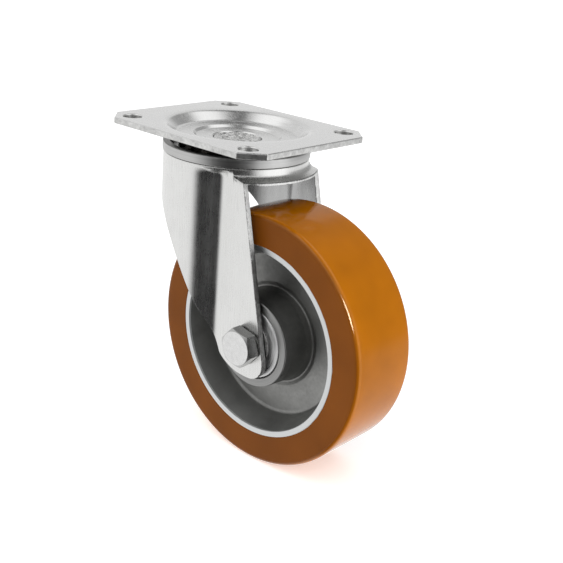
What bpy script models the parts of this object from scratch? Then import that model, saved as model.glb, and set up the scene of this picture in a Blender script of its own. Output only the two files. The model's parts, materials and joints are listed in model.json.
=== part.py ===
"""Swivel plate castor: a polyurethane wheel on an aluminium core, in a pressed-steel fork.

Frame: origin at the centre of the top plate's upper face, on the swivel axis.  +Z is up, +X is the
side the wheel trails to, and Y runs along the axle.  Sizes below are metres, written through MM.
"""
import math
from collections import namedtuple

import bmesh
import bpy

MM = 0.001
TURN = 2 * math.pi
GAP = 0.3 * MM

# Facets around a full turn
WIDE = 56
MEDIUM = 40
SMALL = 24

# Wheel and its place
WHEEL_RADIUS = 62.5 * MM
TRAIL = 37.6 * MM
AXLE_DEPTH = 95.1 * MM
TYRE_HALF_WIDTH = 20.0 * MM
TYRE_EDGE_RADIUS = 2.6 * MM
RIM_RADIUS = 47.8 * MM
RIM_LIP = 2.7 * MM
RIM_HALF_WIDTH = 19.8 * MM
WEB_HALF_WIDTH = 5.5 * MM
WEB_OUTER_RADIUS = 41.0 * MM
BOSS_RADIUS = 22.0 * MM
BOSS_HALF_WIDTH = 22.0 * MM

# Deep-groove ball bearing, 15 x 35 x 11
BEARING_BORE_RADIUS = 7.5 * MM
BEARING_RADIUS = 17.5 * MM
BEARING_WIDTH = 10.9 * MM
BEARING_CENTRE = 16.35 * MM
BEARING_PITCH_RADIUS = 12.5 * MM
BEARING_BALL_RADIUS = 2.75 * MM
RACE_HALF_WIDTH = 2.2 * MM
BEARING_BALLS = 8
INNER_RING_SHOULDER = 10.1 * MM
OUTER_RING_SHOULDER = 14.9 * MM
SHIELD_THICKNESS = 0.4 * MM
SHIELD_SETBACK = 4.65 * MM

# M10 axle
BOLT_RADIUS = 5.0 * MM
BOLT_CLEARANCE = 5.3 * MM
HEX_ACROSS_FLATS = 17.0 * MM
HEX_HEAD_HEIGHT = 6.4 * MM
HEX_TURN = math.radians(18.6)
NUT_HEIGHT = 9.6 * MM
WASHER_RADIUS = 10.0 * MM
WASHER_THICKNESS = 2.0 * MM
SHIM_RADIUS = 11.5 * MM
SHIM_THICKNESS = 0.7 * MM

# Top plate
PLATE_LENGTH = 100.0 * MM
PLATE_WIDTH = 85.0 * MM
PLATE_THICKNESS = 3.0 * MM
PLATE_CORNER = 9.4 * MM
PLATE_EDGE_BEVEL = 0.6 * MM
HOLE_RADIUS = 4.5 * MM
HOLE_SPACING_X = 77.0 * MM
HOLE_SPACING_Y = 66.0 * MM
HOLE_ROLL = 0.9 * MM
DISH_RADIUS = 36.0 * MM
DISH_FLOOR_RADIUS = 27.5 * MM
DISH_DEPTH = 4.7 * MM
KING_FLOOR_RADIUS = 20.0 * MM
KING_FLOOR_DEPTH = 6.0 * MM

# Swivel head
BALL_RADIUS = 2.38 * MM
UPPER_PITCH_RADIUS = 26.0 * MM
UPPER_BALL_HEIGHT = -9.5 * MM
UPPER_BALLS = 16
LOWER_PITCH_RADIUS = 16.5 * MM
LOWER_BALL_HEIGHT = -16.45 * MM
LOWER_BALLS = 12
KINGPIN_RADIUS = 7.5 * MM
KINGPIN_HEAD_RADIUS = 11.5 * MM
KINGPIN_FOOT_RADIUS = 9.5 * MM
CUP_TOP = -18.4 * MM
CUP_THICKNESS = 3.0 * MM
SEAL_RADIUS = 35.7 * MM
SEAL_BORE = 32.3 * MM
SEAL_TOP = -8.5 * MM
SEAL_BOTTOM = -12.9 * MM

# Fork pressing
SHEET = 3.0 * MM
CROWN_TOP = -11.5 * MM
CROWN_HOLE_RADIUS = 9.3 * MM
SKIRT_RADIUS = 35.3 * MM
LEG_OUTER = 26.1 * MM
SHOULDER_HEIGHT = -14.2 * MM
FLARE_CENTRE_HEIGHT = -13.8 * MM
FLARE_RADIUS = 5.0 * MM
FLAT_START = 20.5 * MM
LEG_TOP_TRAILING = 30.4 * MM
TRAILING_SLOPE = 0.2276
PRESS_TOP = -13.5 * MM
PRESS_DEPTH = 7.5 * MM
LEADING_EDGE = ((-36.0, -30.0), (-18.0, -31.0), (4.0, -66.0), (21.1, -105.0))
FOOT_FRONT = (37.0 * MM, -88.5 * MM, 23.0 * MM)
FOOT_BACK = (40.3 * MM, -102.6 * MM, 8.9 * MM)
BEND_END = math.radians(76)
BEND_SKEW = 1.1
ARCH_COLUMNS = 5
LEG_COLUMNS = 4
BEND_COLUMNS = 6
NOSE_COLUMNS = 8

# Heights of the fork wall's rows; the arch edge is the fifth row of each skin
ARCH_ROW = 4
OUTER_ROWS = (-15.4, -16.6, -17.6, -18.4, -18.8, -20.6, -22.4, -24.5, -29.0, -36.0, -60.0, -113.0)
INNER_ROWS = (-17.2, -18.8, -20.2, -21.3, -21.8, -22.6, -23.6, -25.5, -29.5, -36.0, -60.0, -113.0)

Skin = namedtuple("Skin", "skirt leg flare flat_start top rows")


def clear_scene():
    for obj in list(bpy.data.objects):
        bpy.data.objects.remove(obj, do_unlink=True)


def make_material(name, colour, roughness, metallic):
    material = bpy.data.materials.new(name)
    material.use_nodes = True
    shader = material.node_tree.nodes["Principled BSDF"]
    shader.inputs["Base Color"].default_value = (*colour, 1.0)
    shader.inputs["Roughness"].default_value = roughness
    shader.inputs["Metallic"].default_value = metallic
    return material


def make_empty(name, location):
    empty = bpy.data.objects.new(name, None)
    empty.location = location
    bpy.context.collection.objects.link(empty)
    return empty


def make_object(name, bm, material=None, parent=None, location=(0, 0, 0), rotation=(0, 0, 0)):
    """Turn a bmesh into a smooth-shaded object; without a material it is a cutter or a tool."""
    bmesh.ops.recalc_face_normals(bm, faces=bm.faces[:])
    mesh = bpy.data.meshes.new(name)
    bm.to_mesh(mesh)
    bm.free()
    mesh.shade_smooth()
    mesh.set_sharp_from_angle(angle=math.radians(32))
    obj = bpy.data.objects.new(name, mesh)
    obj.location = location
    obj.rotation_euler = rotation
    obj.parent = parent
    bpy.context.collection.objects.link(obj)
    if material:
        mesh.materials.append(material)
    else:
        obj.hide_render = True
        obj.display_type = "WIRE"
    return obj


def combine(target, tool, operation):
    """Add a live Boolean of tool to target."""
    boolean = target.modifiers.new(tool.name, "BOOLEAN")
    boolean.object = tool
    boolean.operation = operation
    boolean.solver = "EXACT"


def turned(outline, steps):
    """Spin an (r, z) outline about Z.  An outline that starts and ends on the axis is left open there."""
    bm = bmesh.new()
    verts = [bm.verts.new((r, 0, z)) for r, z in outline]
    pairs = list(zip(verts, verts[1:]))
    if outline[0][0] > 0:
        pairs.append((verts[-1], verts[0]))
    edges = [bm.edges.new(pair) for pair in pairs]
    bmesh.ops.spin(bm, geom=verts + edges, cent=(0, 0, 0), axis=(0, 0, 1), angle=TURN, steps=steps,
                   use_merge=True)
    bmesh.ops.remove_doubles(bm, verts=bm.verts[:], dist=0.001 * MM)
    return bm


def prism(outline, axis, low, high):
    """Extrude a flat outline along Y (points are x, z) or along Z (points are x, y)."""
    bm = bmesh.new()
    if axis == "Y":
        verts = [bm.verts.new((x, low, z)) for x, z in outline]
        step = (0, high - low, 0)
    else:
        verts = [bm.verts.new((x, y, low)) for x, y in outline]
        step = (0, 0, high - low)
    face = bm.faces.new(verts)
    raised = bmesh.ops.extrude_face_region(bm, geom=[face])["geom"]
    bmesh.ops.translate(bm, vec=step, verts=[v for v in raised if isinstance(v, bmesh.types.BMVert)])
    return bm


def rectangle(inner, outer, low, high):
    """The (r, z) outline of a plain ring."""
    return [(inner, low), (outer, low), (outer, high), (inner, high)]


def arc(cx, cz, radius, start, end, count):
    """Points on an arc, with the angles in degrees."""
    angles = [math.radians(start + (end - start) * i / count) for i in range(count + 1)]
    return [(cx + radius * math.cos(a), cz + radius * math.sin(a)) for a in angles]


def bezier(points, count):
    """Points on a cubic Bezier curve, without its last point."""
    p0, p1, p2, p3 = points
    result = []
    for i in range(count):
        t = i / count
        s = 1 - t
        weights = (s ** 3, 3 * s * s * t, 3 * s * t * t, t ** 3)
        result.append(tuple(sum(w * p[k] for w, p in zip(weights, (p0, p1, p2, p3))) for k in (0, 1)))
    return result


def smooth_step(value):
    t = min(1.0, max(0.0, value))
    return t * t * (3 - 2 * t)


def ball_ring(name, balls, pitch_radius, ball_radius, half_height, material, **place):
    """Balls held in a thin cage ring, as one body."""
    cage = make_object(name, turned(rectangle(pitch_radius - 0.5 * MM, pitch_radius + 0.5 * MM,
                                              -half_height, half_height), SMALL), material, **place)
    bm = bmesh.new()
    for i in range(balls):
        ball = bmesh.ops.create_uvsphere(bm, u_segments=8, v_segments=6, radius=ball_radius)["verts"]
        angle = TURN * (i + 0.5) / balls
        bmesh.ops.translate(bm, verts=ball,
                            vec=(pitch_radius * math.cos(angle), pitch_radius * math.sin(angle), 0))
    tool = make_object(name + "_balls", bm, None, **place)
    combine(cage, tool, "UNION")
    return cage


# ---------------------------------------------------------------- top plate and swivel head

def make_top_plate(zinc):
    """Chamfered plate with a pressed dish, a ball groove under it and four fastening holes."""
    a = PLATE_LENGTH / 2
    b = PLATE_WIDTH / 2
    c = PLATE_CORNER
    corners = [(a, b - c), (a - c, b), (c - a, b), (-a, b - c)]
    corners += [(-x, -y) for x, y in corners]
    plate = make_object("top_plate", prism(corners, "Z", -PLATE_THICKNESS, 0), zinc)
    bevel = plate.modifiers.new("edge", "BEVEL")
    bevel.width = PLATE_EDGE_BEVEL
    bevel.segments = 2
    bevel.limit_method = "ANGLE"
    bevel.angle_limit = math.radians(60)
    floor = -(DISH_DEPTH + PLATE_THICKNESS)
    groove = [(UPPER_PITCH_RADIUS + dr * MM, floor + dz * MM)
              for dr, dz in ((3.2, 0), (2.2, 0), (1.2, 0.7), (0, 0.95), (-1.2, 0.7), (-2.2, 0))]
    under = [(0, -1.4 * MM), (34.6 * MM, -1.4 * MM), (35.4 * MM, -3.1 * MM), (31.2 * MM, -6.9 * MM)]
    under += groove
    under += [(KING_FLOOR_RADIUS + 1.4 * MM, floor), (KING_FLOOR_RADIUS, -(KING_FLOOR_DEPTH + PLATE_THICKNESS)),
              (0, -(KING_FLOOR_DEPTH + PLATE_THICKNESS))]
    dish = make_object("dish_body", turned(under, MEDIUM))
    hollow = [(0, 2 * MM), (DISH_RADIUS + 0.6 * MM, 2 * MM), (DISH_RADIUS, -0.01 * MM),
              (34.4 * MM, -0.5 * MM), (32.6 * MM, -1.6 * MM), (29.6 * MM, -3.9 * MM),
              (DISH_FLOOR_RADIUS, -DISH_DEPTH), (KING_FLOOR_RADIUS + 1.1 * MM, -DISH_DEPTH),
              (KING_FLOOR_RADIUS, -KING_FLOOR_DEPTH), (KINGPIN_HEAD_RADIUS + GAP, -KING_FLOOR_DEPTH),
              (KINGPIN_HEAD_RADIUS + GAP, -8.0 * MM), (KINGPIN_RADIUS + GAP, -8.0 * MM),
              (KINGPIN_RADIUS + GAP, -10 * MM), (0, -10 * MM)]
    cavity = make_object("dish_cavity", turned(hollow, MEDIUM))
    combine(plate, dish, "UNION")
    combine(plate, cavity, "DIFFERENCE")
    drill_outline = [(0, 1 * MM), (HOLE_RADIUS + HOLE_ROLL + 0.2 * MM, 1 * MM),
                     (HOLE_RADIUS + HOLE_ROLL, -0.01 * MM), (HOLE_RADIUS + 0.25 * MM, -0.35 * MM),
                     (HOLE_RADIUS, -0.9 * MM),
                     (HOLE_RADIUS, -PLATE_THICKNESS - 1 * MM), (0, -PLATE_THICKNESS - 1 * MM)]
    for i, (sx, sy) in enumerate(((1, 1), (-1, 1), (-1, -1), (1, -1))):
        place = (sx * HOLE_SPACING_X / 2, sy * HOLE_SPACING_Y / 2, 0)
        drill = make_object("hole_drill_%d" % i, turned(drill_outline, SMALL), location=place)
        combine(plate, drill, "DIFFERENCE")
    return plate


def make_kingpin(zinc):
    """Rivet with a peened head in the dish and a foot under the lower race cup."""
    head_top = -KING_FLOOR_DEPTH - 0.2 * MM
    foot_top = CUP_TOP - CUP_THICKNESS - GAP
    outline = [(0, head_top), (9.6 * MM, head_top), (KINGPIN_HEAD_RADIUS, head_top - 0.5 * MM),
               (KINGPIN_HEAD_RADIUS, -7.7 * MM), (KINGPIN_RADIUS, -7.7 * MM), (KINGPIN_RADIUS, foot_top),
               (KINGPIN_FOOT_RADIUS, foot_top), (KINGPIN_FOOT_RADIUS, foot_top - 1.2 * MM),
               (KINGPIN_FOOT_RADIUS - 1.8 * MM, foot_top - 2.4 * MM), (0, foot_top - 2.4 * MM)]
    return make_object("kingpin", turned(outline, SMALL), zinc)


def make_lower_race_cup(steel):
    """Pressed cup that carries the lower ball row from below."""
    bottom = CUP_TOP - CUP_THICKNESS
    pitch = LOWER_PITCH_RADIUS
    outline = [(KINGPIN_RADIUS + GAP, bottom), (21.0 * MM, bottom), (22.2 * MM, bottom + 1.2 * MM),
               (22.2 * MM, -15.4 * MM), (20.4 * MM, -15.4 * MM), (20.2 * MM, CUP_TOP),
               (pitch + 2.2 * MM, CUP_TOP), (pitch, CUP_TOP - 0.95 * MM), (pitch - 2.2 * MM, CUP_TOP),
               (KINGPIN_RADIUS + GAP, CUP_TOP)]
    return make_object("lower_race_cup", turned(outline, SMALL), steel)


def make_seal_ring(steel):
    outline = [(SEAL_BORE, SEAL_BOTTOM), (SEAL_RADIUS - 0.2 * MM, SEAL_BOTTOM),
               (SEAL_RADIUS, SEAL_BOTTOM + 0.2 * MM), (SEAL_RADIUS, SEAL_TOP - 0.5 * MM),
               (SEAL_RADIUS - 0.5 * MM, SEAL_TOP), (SEAL_BORE, SEAL_TOP)]
    return make_object("seal_ring", turned(outline, MEDIUM), steel)


# ---------------------------------------------------------------- fork

def fork_skins():
    """The outer and inner skin of the sheet, each with its rows from the crown's hole down."""
    upper = UPPER_PITCH_RADIUS
    lower = LOWER_PITCH_RADIUS
    under = CROWN_TOP - SHEET
    seat = SEAL_BOTTOM - GAP
    outer_top = [(CROWN_HOLE_RADIUS, CROWN_TOP), (upper - 2.2 * MM, CROWN_TOP), (upper, CROWN_TOP - 0.95 * MM),
                 (upper + 2.2 * MM, CROWN_TOP), (30.4 * MM, CROWN_TOP), (31.8 * MM, CROWN_TOP - 1.2 * MM),
                 (31.8 * MM, seat), (SKIRT_RADIUS - 1.0 * MM, seat), (SKIRT_RADIUS, SHOULDER_HEIGHT)]
    inner_top = [(CROWN_HOLE_RADIUS, under), (lower - 2.2 * MM, under), (lower, under + 0.95 * MM),
                 (lower + 2.2 * MM, under), (29.4 * MM, under), (31.4 * MM, under - 0.5 * MM),
                 (SKIRT_RADIUS - SHEET, under - 1.6 * MM)]
    outer = Skin(SKIRT_RADIUS, LEG_OUTER, FLARE_RADIUS, FLAT_START, outer_top, OUTER_ROWS)
    inner = Skin(SKIRT_RADIUS - SHEET, LEG_OUTER - SHEET, FLARE_RADIUS + SHEET, FLAT_START + 1.5 * MM,
                 inner_top, INNER_ROWS)
    return outer, inner


def side_angles(skin, z):
    """Angles of one side's columns, from the middle of the arch over the leg and the bend to the nose."""
    trailing = LEG_TOP_TRAILING + TRAILING_SLOPE * max(0.0, -19.0 * MM - z)
    corner = math.atan2(skin.leg, LEG_TOP_TRAILING)
    turn_in = math.atan2(skin.leg, skin.flat_start)
    arch = [corner * i / ARCH_COLUMNS for i in range(ARCH_COLUMNS)]
    leg = [math.atan2(skin.leg, trailing + (skin.flat_start - trailing) * i / LEG_COLUMNS)
           for i in range(LEG_COLUMNS + 1)]
    bend = [turn_in + (BEND_END - turn_in) * i / BEND_COLUMNS for i in range(1, BEND_COLUMNS + 1)]
    nose = [BEND_END + (math.pi - BEND_END) * i / NOSE_COLUMNS for i in range(1, NOSE_COLUMNS + 1)]
    return arch + leg + bend + nose


def wall_radius(skin, angle, z):
    """Distance of the fork's wall from the swivel axis at one angle and height."""
    if angle > BEND_END:
        return skin.skirt
    leg = skin.leg / max(math.sin(angle), 0.01)
    if leg < skin.skirt:
        bend = smooth_step((BEND_END - angle) / (BEND_END - math.atan2(skin.leg, skin.flat_start))) ** BEND_SKEW
        pressed = smooth_step((PRESS_TOP - z) / PRESS_DEPTH)
        return skin.skirt + (leg - skin.skirt) * bend * pressed
    drop = FLARE_CENTRE_HEIGHT - z
    if drop <= 0:
        return skin.skirt
    if drop > skin.flare + 0.1 * MM:
        return leg
    neck = FLARE_RADIUS + SKIRT_RADIUS - math.sqrt(max(skin.flare ** 2 - drop ** 2, 0.0))
    return min(neck, leg)


def fork_column(bm, skin, index, side):
    """Vertices of one column, from the crown's hole down to the arch edge or the fork's foot."""
    at_crown = side * side_angles(skin, 0)[index]
    verts = [bm.verts.new((r * math.cos(at_crown), r * math.sin(at_crown), z)) for r, z in skin.top]
    for row, height in enumerate(skin.rows):
        if index < ARCH_COLUMNS and row > ARCH_ROW:
            break
        z = height * MM
        angle = side_angles(skin, z if row > ARCH_ROW else 0)[index]
        r = wall_radius(skin, angle, z)
        verts.append(bm.verts.new((r * math.cos(angle), side * r * math.sin(angle), z)))
    return verts


def fork_shell():
    """Closed pressed-steel shell: a round crown, a flared arch at the back, a skirt and two flat legs."""
    bm = bmesh.new()
    outer_skin, inner_skin = fork_skins()
    last = len(side_angles(outer_skin, 0)) - 1
    order = [(i, -1) for i in range(last, 0, -1)] + [(i, 1) for i in range(last)]
    columns = [(fork_column(bm, outer_skin, *place), fork_column(bm, inner_skin, *place)) for place in order]
    shift = len(inner_skin.top) - len(outer_skin.top)
    for (outer_a, inner_a), (outer_b, inner_b) in zip(columns, columns[1:] + columns[:1]):
        for wall_a, wall_b in ((outer_a, outer_b), (inner_a, inner_b)):
            for row in range(min(len(wall_a), len(wall_b)) - 1):
                bm.faces.new((wall_a[row], wall_a[row + 1], wall_b[row + 1], wall_b[row]))
        foot = min(len(outer_a), len(outer_b)) - 1
        bm.faces.new((outer_a[0], outer_b[0], inner_b[0], inner_a[0]))
        bm.faces.new((outer_a[foot], outer_b[foot], inner_b[foot + shift], inner_a[foot + shift]))
    for side in (-1, 1):
        outer, inner = columns[order.index((ARCH_COLUMNS, side))]
        for row in range(len(outer_skin.top) + ARCH_ROW, len(outer) - 1):
            bm.faces.new((outer[row], outer[row + 1], inner[row + 1 + shift], inner[row + shift]))
    return bm


def fork_side_outline():
    """Side profile that trims the skirt's leading edge and rounds the legs' feet."""
    front = [(x * MM, z * MM) for x, z in LEADING_EDGE]
    outline = [(-50 * MM, 5 * MM), (-50 * MM, front[0][1] + 3 * MM)]
    outline += bezier(front, 14)
    outline += arc(*FOOT_FRONT, 226.5, 270, 6)
    outline += arc(*FOOT_BACK, 270, 373, 9)
    outline += [(80 * MM, FOOT_BACK[1] + FOOT_BACK[2] * math.sin(math.radians(13))), (80 * MM, 5 * MM)]
    return outline


def make_fork(zinc):
    fork = make_object("fork", fork_shell(), zinc)
    profile = make_object("fork_profile", prism(fork_side_outline(), "Y", -50 * MM, 50 * MM))
    bore = make_object("fork_axle_bore", turned([(0, -40 * MM), (BOLT_CLEARANCE, -40 * MM),
                                                 (BOLT_CLEARANCE, 40 * MM), (0, 40 * MM)], SMALL),
                       location=(TRAIL, 0, -AXLE_DEPTH), rotation=(-math.pi / 2, 0, 0))
    combine(fork, profile, "INTERSECT")
    combine(fork, bore, "DIFFERENCE")
    return fork


# ---------------------------------------------------------------- axle

def hexagon():
    """Corners of the hexagon, turned to the angle at which the bolt was tightened."""
    corner = HEX_ACROSS_FLATS / 2 / math.cos(math.pi / 6)
    angles = [HEX_TURN + TURN * (i + 0.5) / 6 for i in range(6)]
    return [(corner * math.cos(a), corner * math.sin(a)) for a in angles]


def hexagon_turning(height):
    """Outline that chamfers a hexagon's upper corners when it is intersected with it."""
    across = HEX_ACROSS_FLATS / 2
    outside = across + 3 * MM
    return [(0, -1 * MM), (outside, -1 * MM), (outside, height - 2.1 * MM), (across - 0.4 * MM, height),
            (0, height)]


def make_axle_bolt(zinc, axle):
    """Hexagon-head screw, its head on the -Y side; local +Z points to -Y."""
    seat = LEG_OUTER + GAP
    turn_out = (math.pi / 2, 0, 0)
    bolt = make_object("axle_bolt", prism(hexagon(), "Z", 0, HEX_HEAD_HEIGHT), zinc, axle,
                       (0, -seat, 0), turn_out)
    lathe = make_object("bolt_head_turning", turned(hexagon_turning(HEX_HEAD_HEIGHT), SMALL), None, axle,
                        (0, -seat, 0), turn_out)
    length = 2 * seat + WASHER_THICKNESS + GAP + NUT_HEIGHT + 1.5 * MM
    shank = [(0, 1 * MM), (BOLT_RADIUS, 1 * MM), (BOLT_RADIUS, 1 * MM - length),
             (BOLT_RADIUS - 0.8 * MM, -length), (0, -length)]
    rod = make_object("bolt_shank", turned(shank, SMALL), None, axle, (0, -seat, 0), turn_out)
    combine(bolt, lathe, "INTERSECT")
    combine(bolt, rod, "UNION")
    return bolt


def make_axle_nut(zinc, axle):
    """Self-locking nut on the +Y side: a hexagon with a round collar; local +Z points to +Y."""
    collar = 2.6 * MM
    height = NUT_HEIGHT - collar
    place = (0, LEG_OUTER + 2 * GAP + WASHER_THICKNESS, 0)
    turn_out = (-math.pi / 2, 0, 0)
    nut = make_object("axle_nut", prism(hexagon(), "Z", 0, height), zinc, axle, place, turn_out)
    lathe = make_object("nut_turning", turned(hexagon_turning(height), SMALL), None, axle, place, turn_out)
    ring = [(0, height - 1 * MM), (7.4 * MM, height - 1 * MM), (7.4 * MM, height + collar - 0.8 * MM),
            (6.6 * MM, height + collar), (0, height + collar)]
    collar_body = make_object("nut_collar", turned(ring, SMALL), None, axle, place, turn_out)
    hole = [(0, -1 * MM), (BOLT_CLEARANCE, -1 * MM), (BOLT_CLEARANCE, 12 * MM), (0, 12 * MM)]
    bore = make_object("nut_bore", turned(hole, SMALL), None, axle, place, turn_out)
    combine(nut, lathe, "INTERSECT")
    combine(nut, collar_body, "UNION")
    combine(nut, bore, "DIFFERENCE")
    return nut


def axle_ring(name, inner, outer, low, high, material, axle):
    """A plain ring about the axle between two Y positions."""
    return make_object(name, turned(rectangle(inner, outer, low, high), SMALL), material, axle,
                       rotation=(-math.pi / 2, 0, 0))


def make_axle(zinc, steel, axle):
    make_axle_bolt(zinc, axle)
    make_axle_nut(zinc, axle)
    washer = LEG_OUTER + GAP
    axle_ring("nut_washer", BOLT_CLEARANCE, WASHER_RADIUS, washer, washer + WASHER_THICKNESS, zinc, axle)
    tube_end = LEG_OUTER - SHEET - GAP
    axle_ring("axle_tube", BOLT_CLEARANCE, BEARING_BORE_RADIUS, -tube_end, tube_end, steel, axle)
    spacer = BEARING_CENTRE - BEARING_WIDTH / 2 - GAP
    axle_ring("bearing_spacer", BEARING_BORE_RADIUS + GAP, INNER_RING_SHOULDER, -spacer, spacer, steel, axle)
    for side, name in ((-1, "bolt_side"), (1, "nut_side")):
        near = tube_end - SHIM_THICKNESS
        low, high = sorted((side * near, side * tube_end))
        axle_ring(name + "_shim", BEARING_BORE_RADIUS + GAP, SHIM_RADIUS, low, high, zinc, axle)


# ---------------------------------------------------------------- wheel

def make_bearing(side, name, steel, shield_steel, axle, wheel):
    """One shielded ball bearing: two rings, two shields and a caged ball set."""
    half = BEARING_WIDTH / 2
    place = dict(location=(0, side * BEARING_CENTRE, 0), rotation=(-math.pi / 2, 0, 0))
    groove = RACE_HALF_WIDTH
    race = BEARING_BALL_RADIUS + GAP
    inner = [(BEARING_BORE_RADIUS + GAP, -half), (INNER_RING_SHOULDER, -half), (INNER_RING_SHOULDER, -groove),
             (BEARING_PITCH_RADIUS - race, 0), (INNER_RING_SHOULDER, groove), (INNER_RING_SHOULDER, half),
             (BEARING_BORE_RADIUS + GAP, half)]
    outer = [(OUTER_RING_SHOULDER, -half), (BEARING_RADIUS, -half), (BEARING_RADIUS, half),
             (OUTER_RING_SHOULDER, half), (OUTER_RING_SHOULDER, groove), (BEARING_PITCH_RADIUS + race, 0),
             (OUTER_RING_SHOULDER, -groove)]
    make_object(name + "_inner_ring", turned(inner, SMALL), steel, axle, **place)
    make_object(name + "_outer_ring", turned(outer, SMALL), steel, wheel, **place)
    ball_ring(name + "_ball_set", BEARING_BALLS, BEARING_PITCH_RADIUS, BEARING_BALL_RADIUS, 1.2 * MM, steel,
              parent=wheel, **place)
    for label, way in (("outer", side), ("inner", -side)):
        low, high = sorted((way * SHIELD_SETBACK, way * (SHIELD_SETBACK + SHIELD_THICKNESS)))
        ring = rectangle(INNER_RING_SHOULDER + GAP, OUTER_RING_SHOULDER - GAP, low, high)
        make_object("%s_%s_shield" % (name, label), turned(ring, SMALL), shield_steel, wheel, **place)


def mirrored(half):
    """Complete a wheel outline from its +Y half."""
    return half + [(r, -y) for r, y in reversed(half)]


def make_wheel_core(aluminium, wheel):
    """Cast core: boss with bearing seats, flat web, and a rim under the tyre."""
    seat = BEARING_CENTRE - BEARING_WIDTH / 2 - GAP
    bore = BEARING_RADIUS + GAP
    lip = RIM_RADIUS - RIM_LIP
    half = [(15.0 * MM, seat), (bore, seat), (bore, BOSS_HALF_WIDTH - 0.4 * MM),
            (bore + 0.4 * MM, BOSS_HALF_WIDTH), (BOSS_RADIUS - 0.6 * MM, BOSS_HALF_WIDTH),
            (BOSS_RADIUS, BOSS_HALF_WIDTH - 0.6 * MM),
            (BOSS_RADIUS + 0.7 * MM, WEB_HALF_WIDTH), (BOSS_RADIUS + 1.5 * MM, WEB_HALF_WIDTH - 1.6 * MM),
            (BOSS_RADIUS + 3.0 * MM, WEB_HALF_WIDTH - 1.6 * MM), (BOSS_RADIUS + 4.0 * MM, WEB_HALF_WIDTH),
            (WEB_OUTER_RADIUS - 1.4 * MM, WEB_HALF_WIDTH), (WEB_OUTER_RADIUS, WEB_HALF_WIDTH + 1.4 * MM),
            (lip - 0.2 * MM, RIM_HALF_WIDTH - 0.3 * MM), (lip + 0.2 * MM, RIM_HALF_WIDTH),
            (RIM_RADIUS - 0.3 * MM, RIM_HALF_WIDTH), (RIM_RADIUS, RIM_HALF_WIDTH - 0.3 * MM)]
    return make_object("wheel_core", turned(mirrored(half), MEDIUM), aluminium, wheel,
                       rotation=(-math.pi / 2, 0, 0))


def make_tyre(polyurethane, wheel):
    """Cast tyre with square shoulders and rounded tread edges."""
    edge = TYRE_EDGE_RADIUS
    bead = RIM_RADIUS + GAP
    half = [(bead, TYRE_HALF_WIDTH)]
    half += [(r, y) for y, r in arc(TYRE_HALF_WIDTH - edge, WHEEL_RADIUS - edge, edge, 0, 90, 4)]
    return make_object("tyre", turned(mirrored(half), WIDE), polyurethane, wheel,
                       rotation=(-math.pi / 2, 0, 0))


def main():
    clear_scene()
    zinc = make_material("zinc_plate", (0.62, 0.62, 0.61), 0.28, 1.0)
    seal = make_material("seal_steel", (0.47, 0.47, 0.47), 0.45, 1.0)
    steel = make_material("bearing_steel", (0.55, 0.55, 0.56), 0.22, 1.0)
    shield_steel = make_material("shield_steel", (0.42, 0.42, 0.43), 0.35, 1.0)
    aluminium = make_material("cast_aluminium", (0.40, 0.40, 0.40), 0.45, 1.0)
    polyurethane = make_material("polyurethane", (0.60, 0.24, 0.03), 0.16, 0.0)
    make_top_plate(zinc)
    make_kingpin(zinc)
    make_lower_race_cup(steel)
    ball_ring("upper_ball_set", UPPER_BALLS, UPPER_PITCH_RADIUS, BALL_RADIUS, 0.9 * MM, steel,
              location=(0, 0, UPPER_BALL_HEIGHT))
    ball_ring("lower_ball_set", LOWER_BALLS, LOWER_PITCH_RADIUS, BALL_RADIUS, 0.9 * MM, steel,
              location=(0, 0, LOWER_BALL_HEIGHT))
    make_seal_ring(seal)
    make_fork(zinc)
    axle = make_empty("axle_axis", (TRAIL, 0, -AXLE_DEPTH))
    wheel = make_empty("wheel_axis", (TRAIL, 0, -AXLE_DEPTH))
    make_axle(zinc, steel, axle)
    for side, name in ((-1, "bolt_side"), (1, "nut_side")):
        make_bearing(side, name, steel, shield_steel, axle, wheel)
    make_wheel_core(aluminium, wheel)
    make_tyre(polyurethane, wheel)


main()
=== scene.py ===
"""Looks of a swivel plate castor: fine pieces, finishes, a camera and a plain pale studio."""

import math

import bmesh
import bpy
from mathutils import Matrix, Vector, noise
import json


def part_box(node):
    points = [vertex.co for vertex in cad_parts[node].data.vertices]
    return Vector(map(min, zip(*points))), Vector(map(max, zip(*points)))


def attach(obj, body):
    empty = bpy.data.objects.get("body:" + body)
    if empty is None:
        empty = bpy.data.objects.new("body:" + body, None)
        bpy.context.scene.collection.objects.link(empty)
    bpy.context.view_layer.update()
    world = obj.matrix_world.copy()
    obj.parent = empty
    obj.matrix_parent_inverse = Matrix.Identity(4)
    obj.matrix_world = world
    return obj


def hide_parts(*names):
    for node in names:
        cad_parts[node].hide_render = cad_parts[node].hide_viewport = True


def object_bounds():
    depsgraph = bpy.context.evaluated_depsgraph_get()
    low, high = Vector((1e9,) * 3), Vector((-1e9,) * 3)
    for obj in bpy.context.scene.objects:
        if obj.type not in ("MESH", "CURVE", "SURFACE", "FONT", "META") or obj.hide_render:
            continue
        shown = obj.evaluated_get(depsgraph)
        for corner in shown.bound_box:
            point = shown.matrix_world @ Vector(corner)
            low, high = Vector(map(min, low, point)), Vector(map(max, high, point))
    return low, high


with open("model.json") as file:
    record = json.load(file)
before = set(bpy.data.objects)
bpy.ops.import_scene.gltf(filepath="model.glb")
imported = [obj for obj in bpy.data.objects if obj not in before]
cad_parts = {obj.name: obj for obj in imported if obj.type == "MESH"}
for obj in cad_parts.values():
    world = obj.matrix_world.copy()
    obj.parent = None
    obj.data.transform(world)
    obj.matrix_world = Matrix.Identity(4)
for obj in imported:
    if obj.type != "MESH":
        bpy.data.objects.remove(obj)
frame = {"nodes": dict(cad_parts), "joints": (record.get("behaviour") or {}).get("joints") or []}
CAD_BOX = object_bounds()

MM = 0.001
TURN = 2 * math.pi


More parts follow.
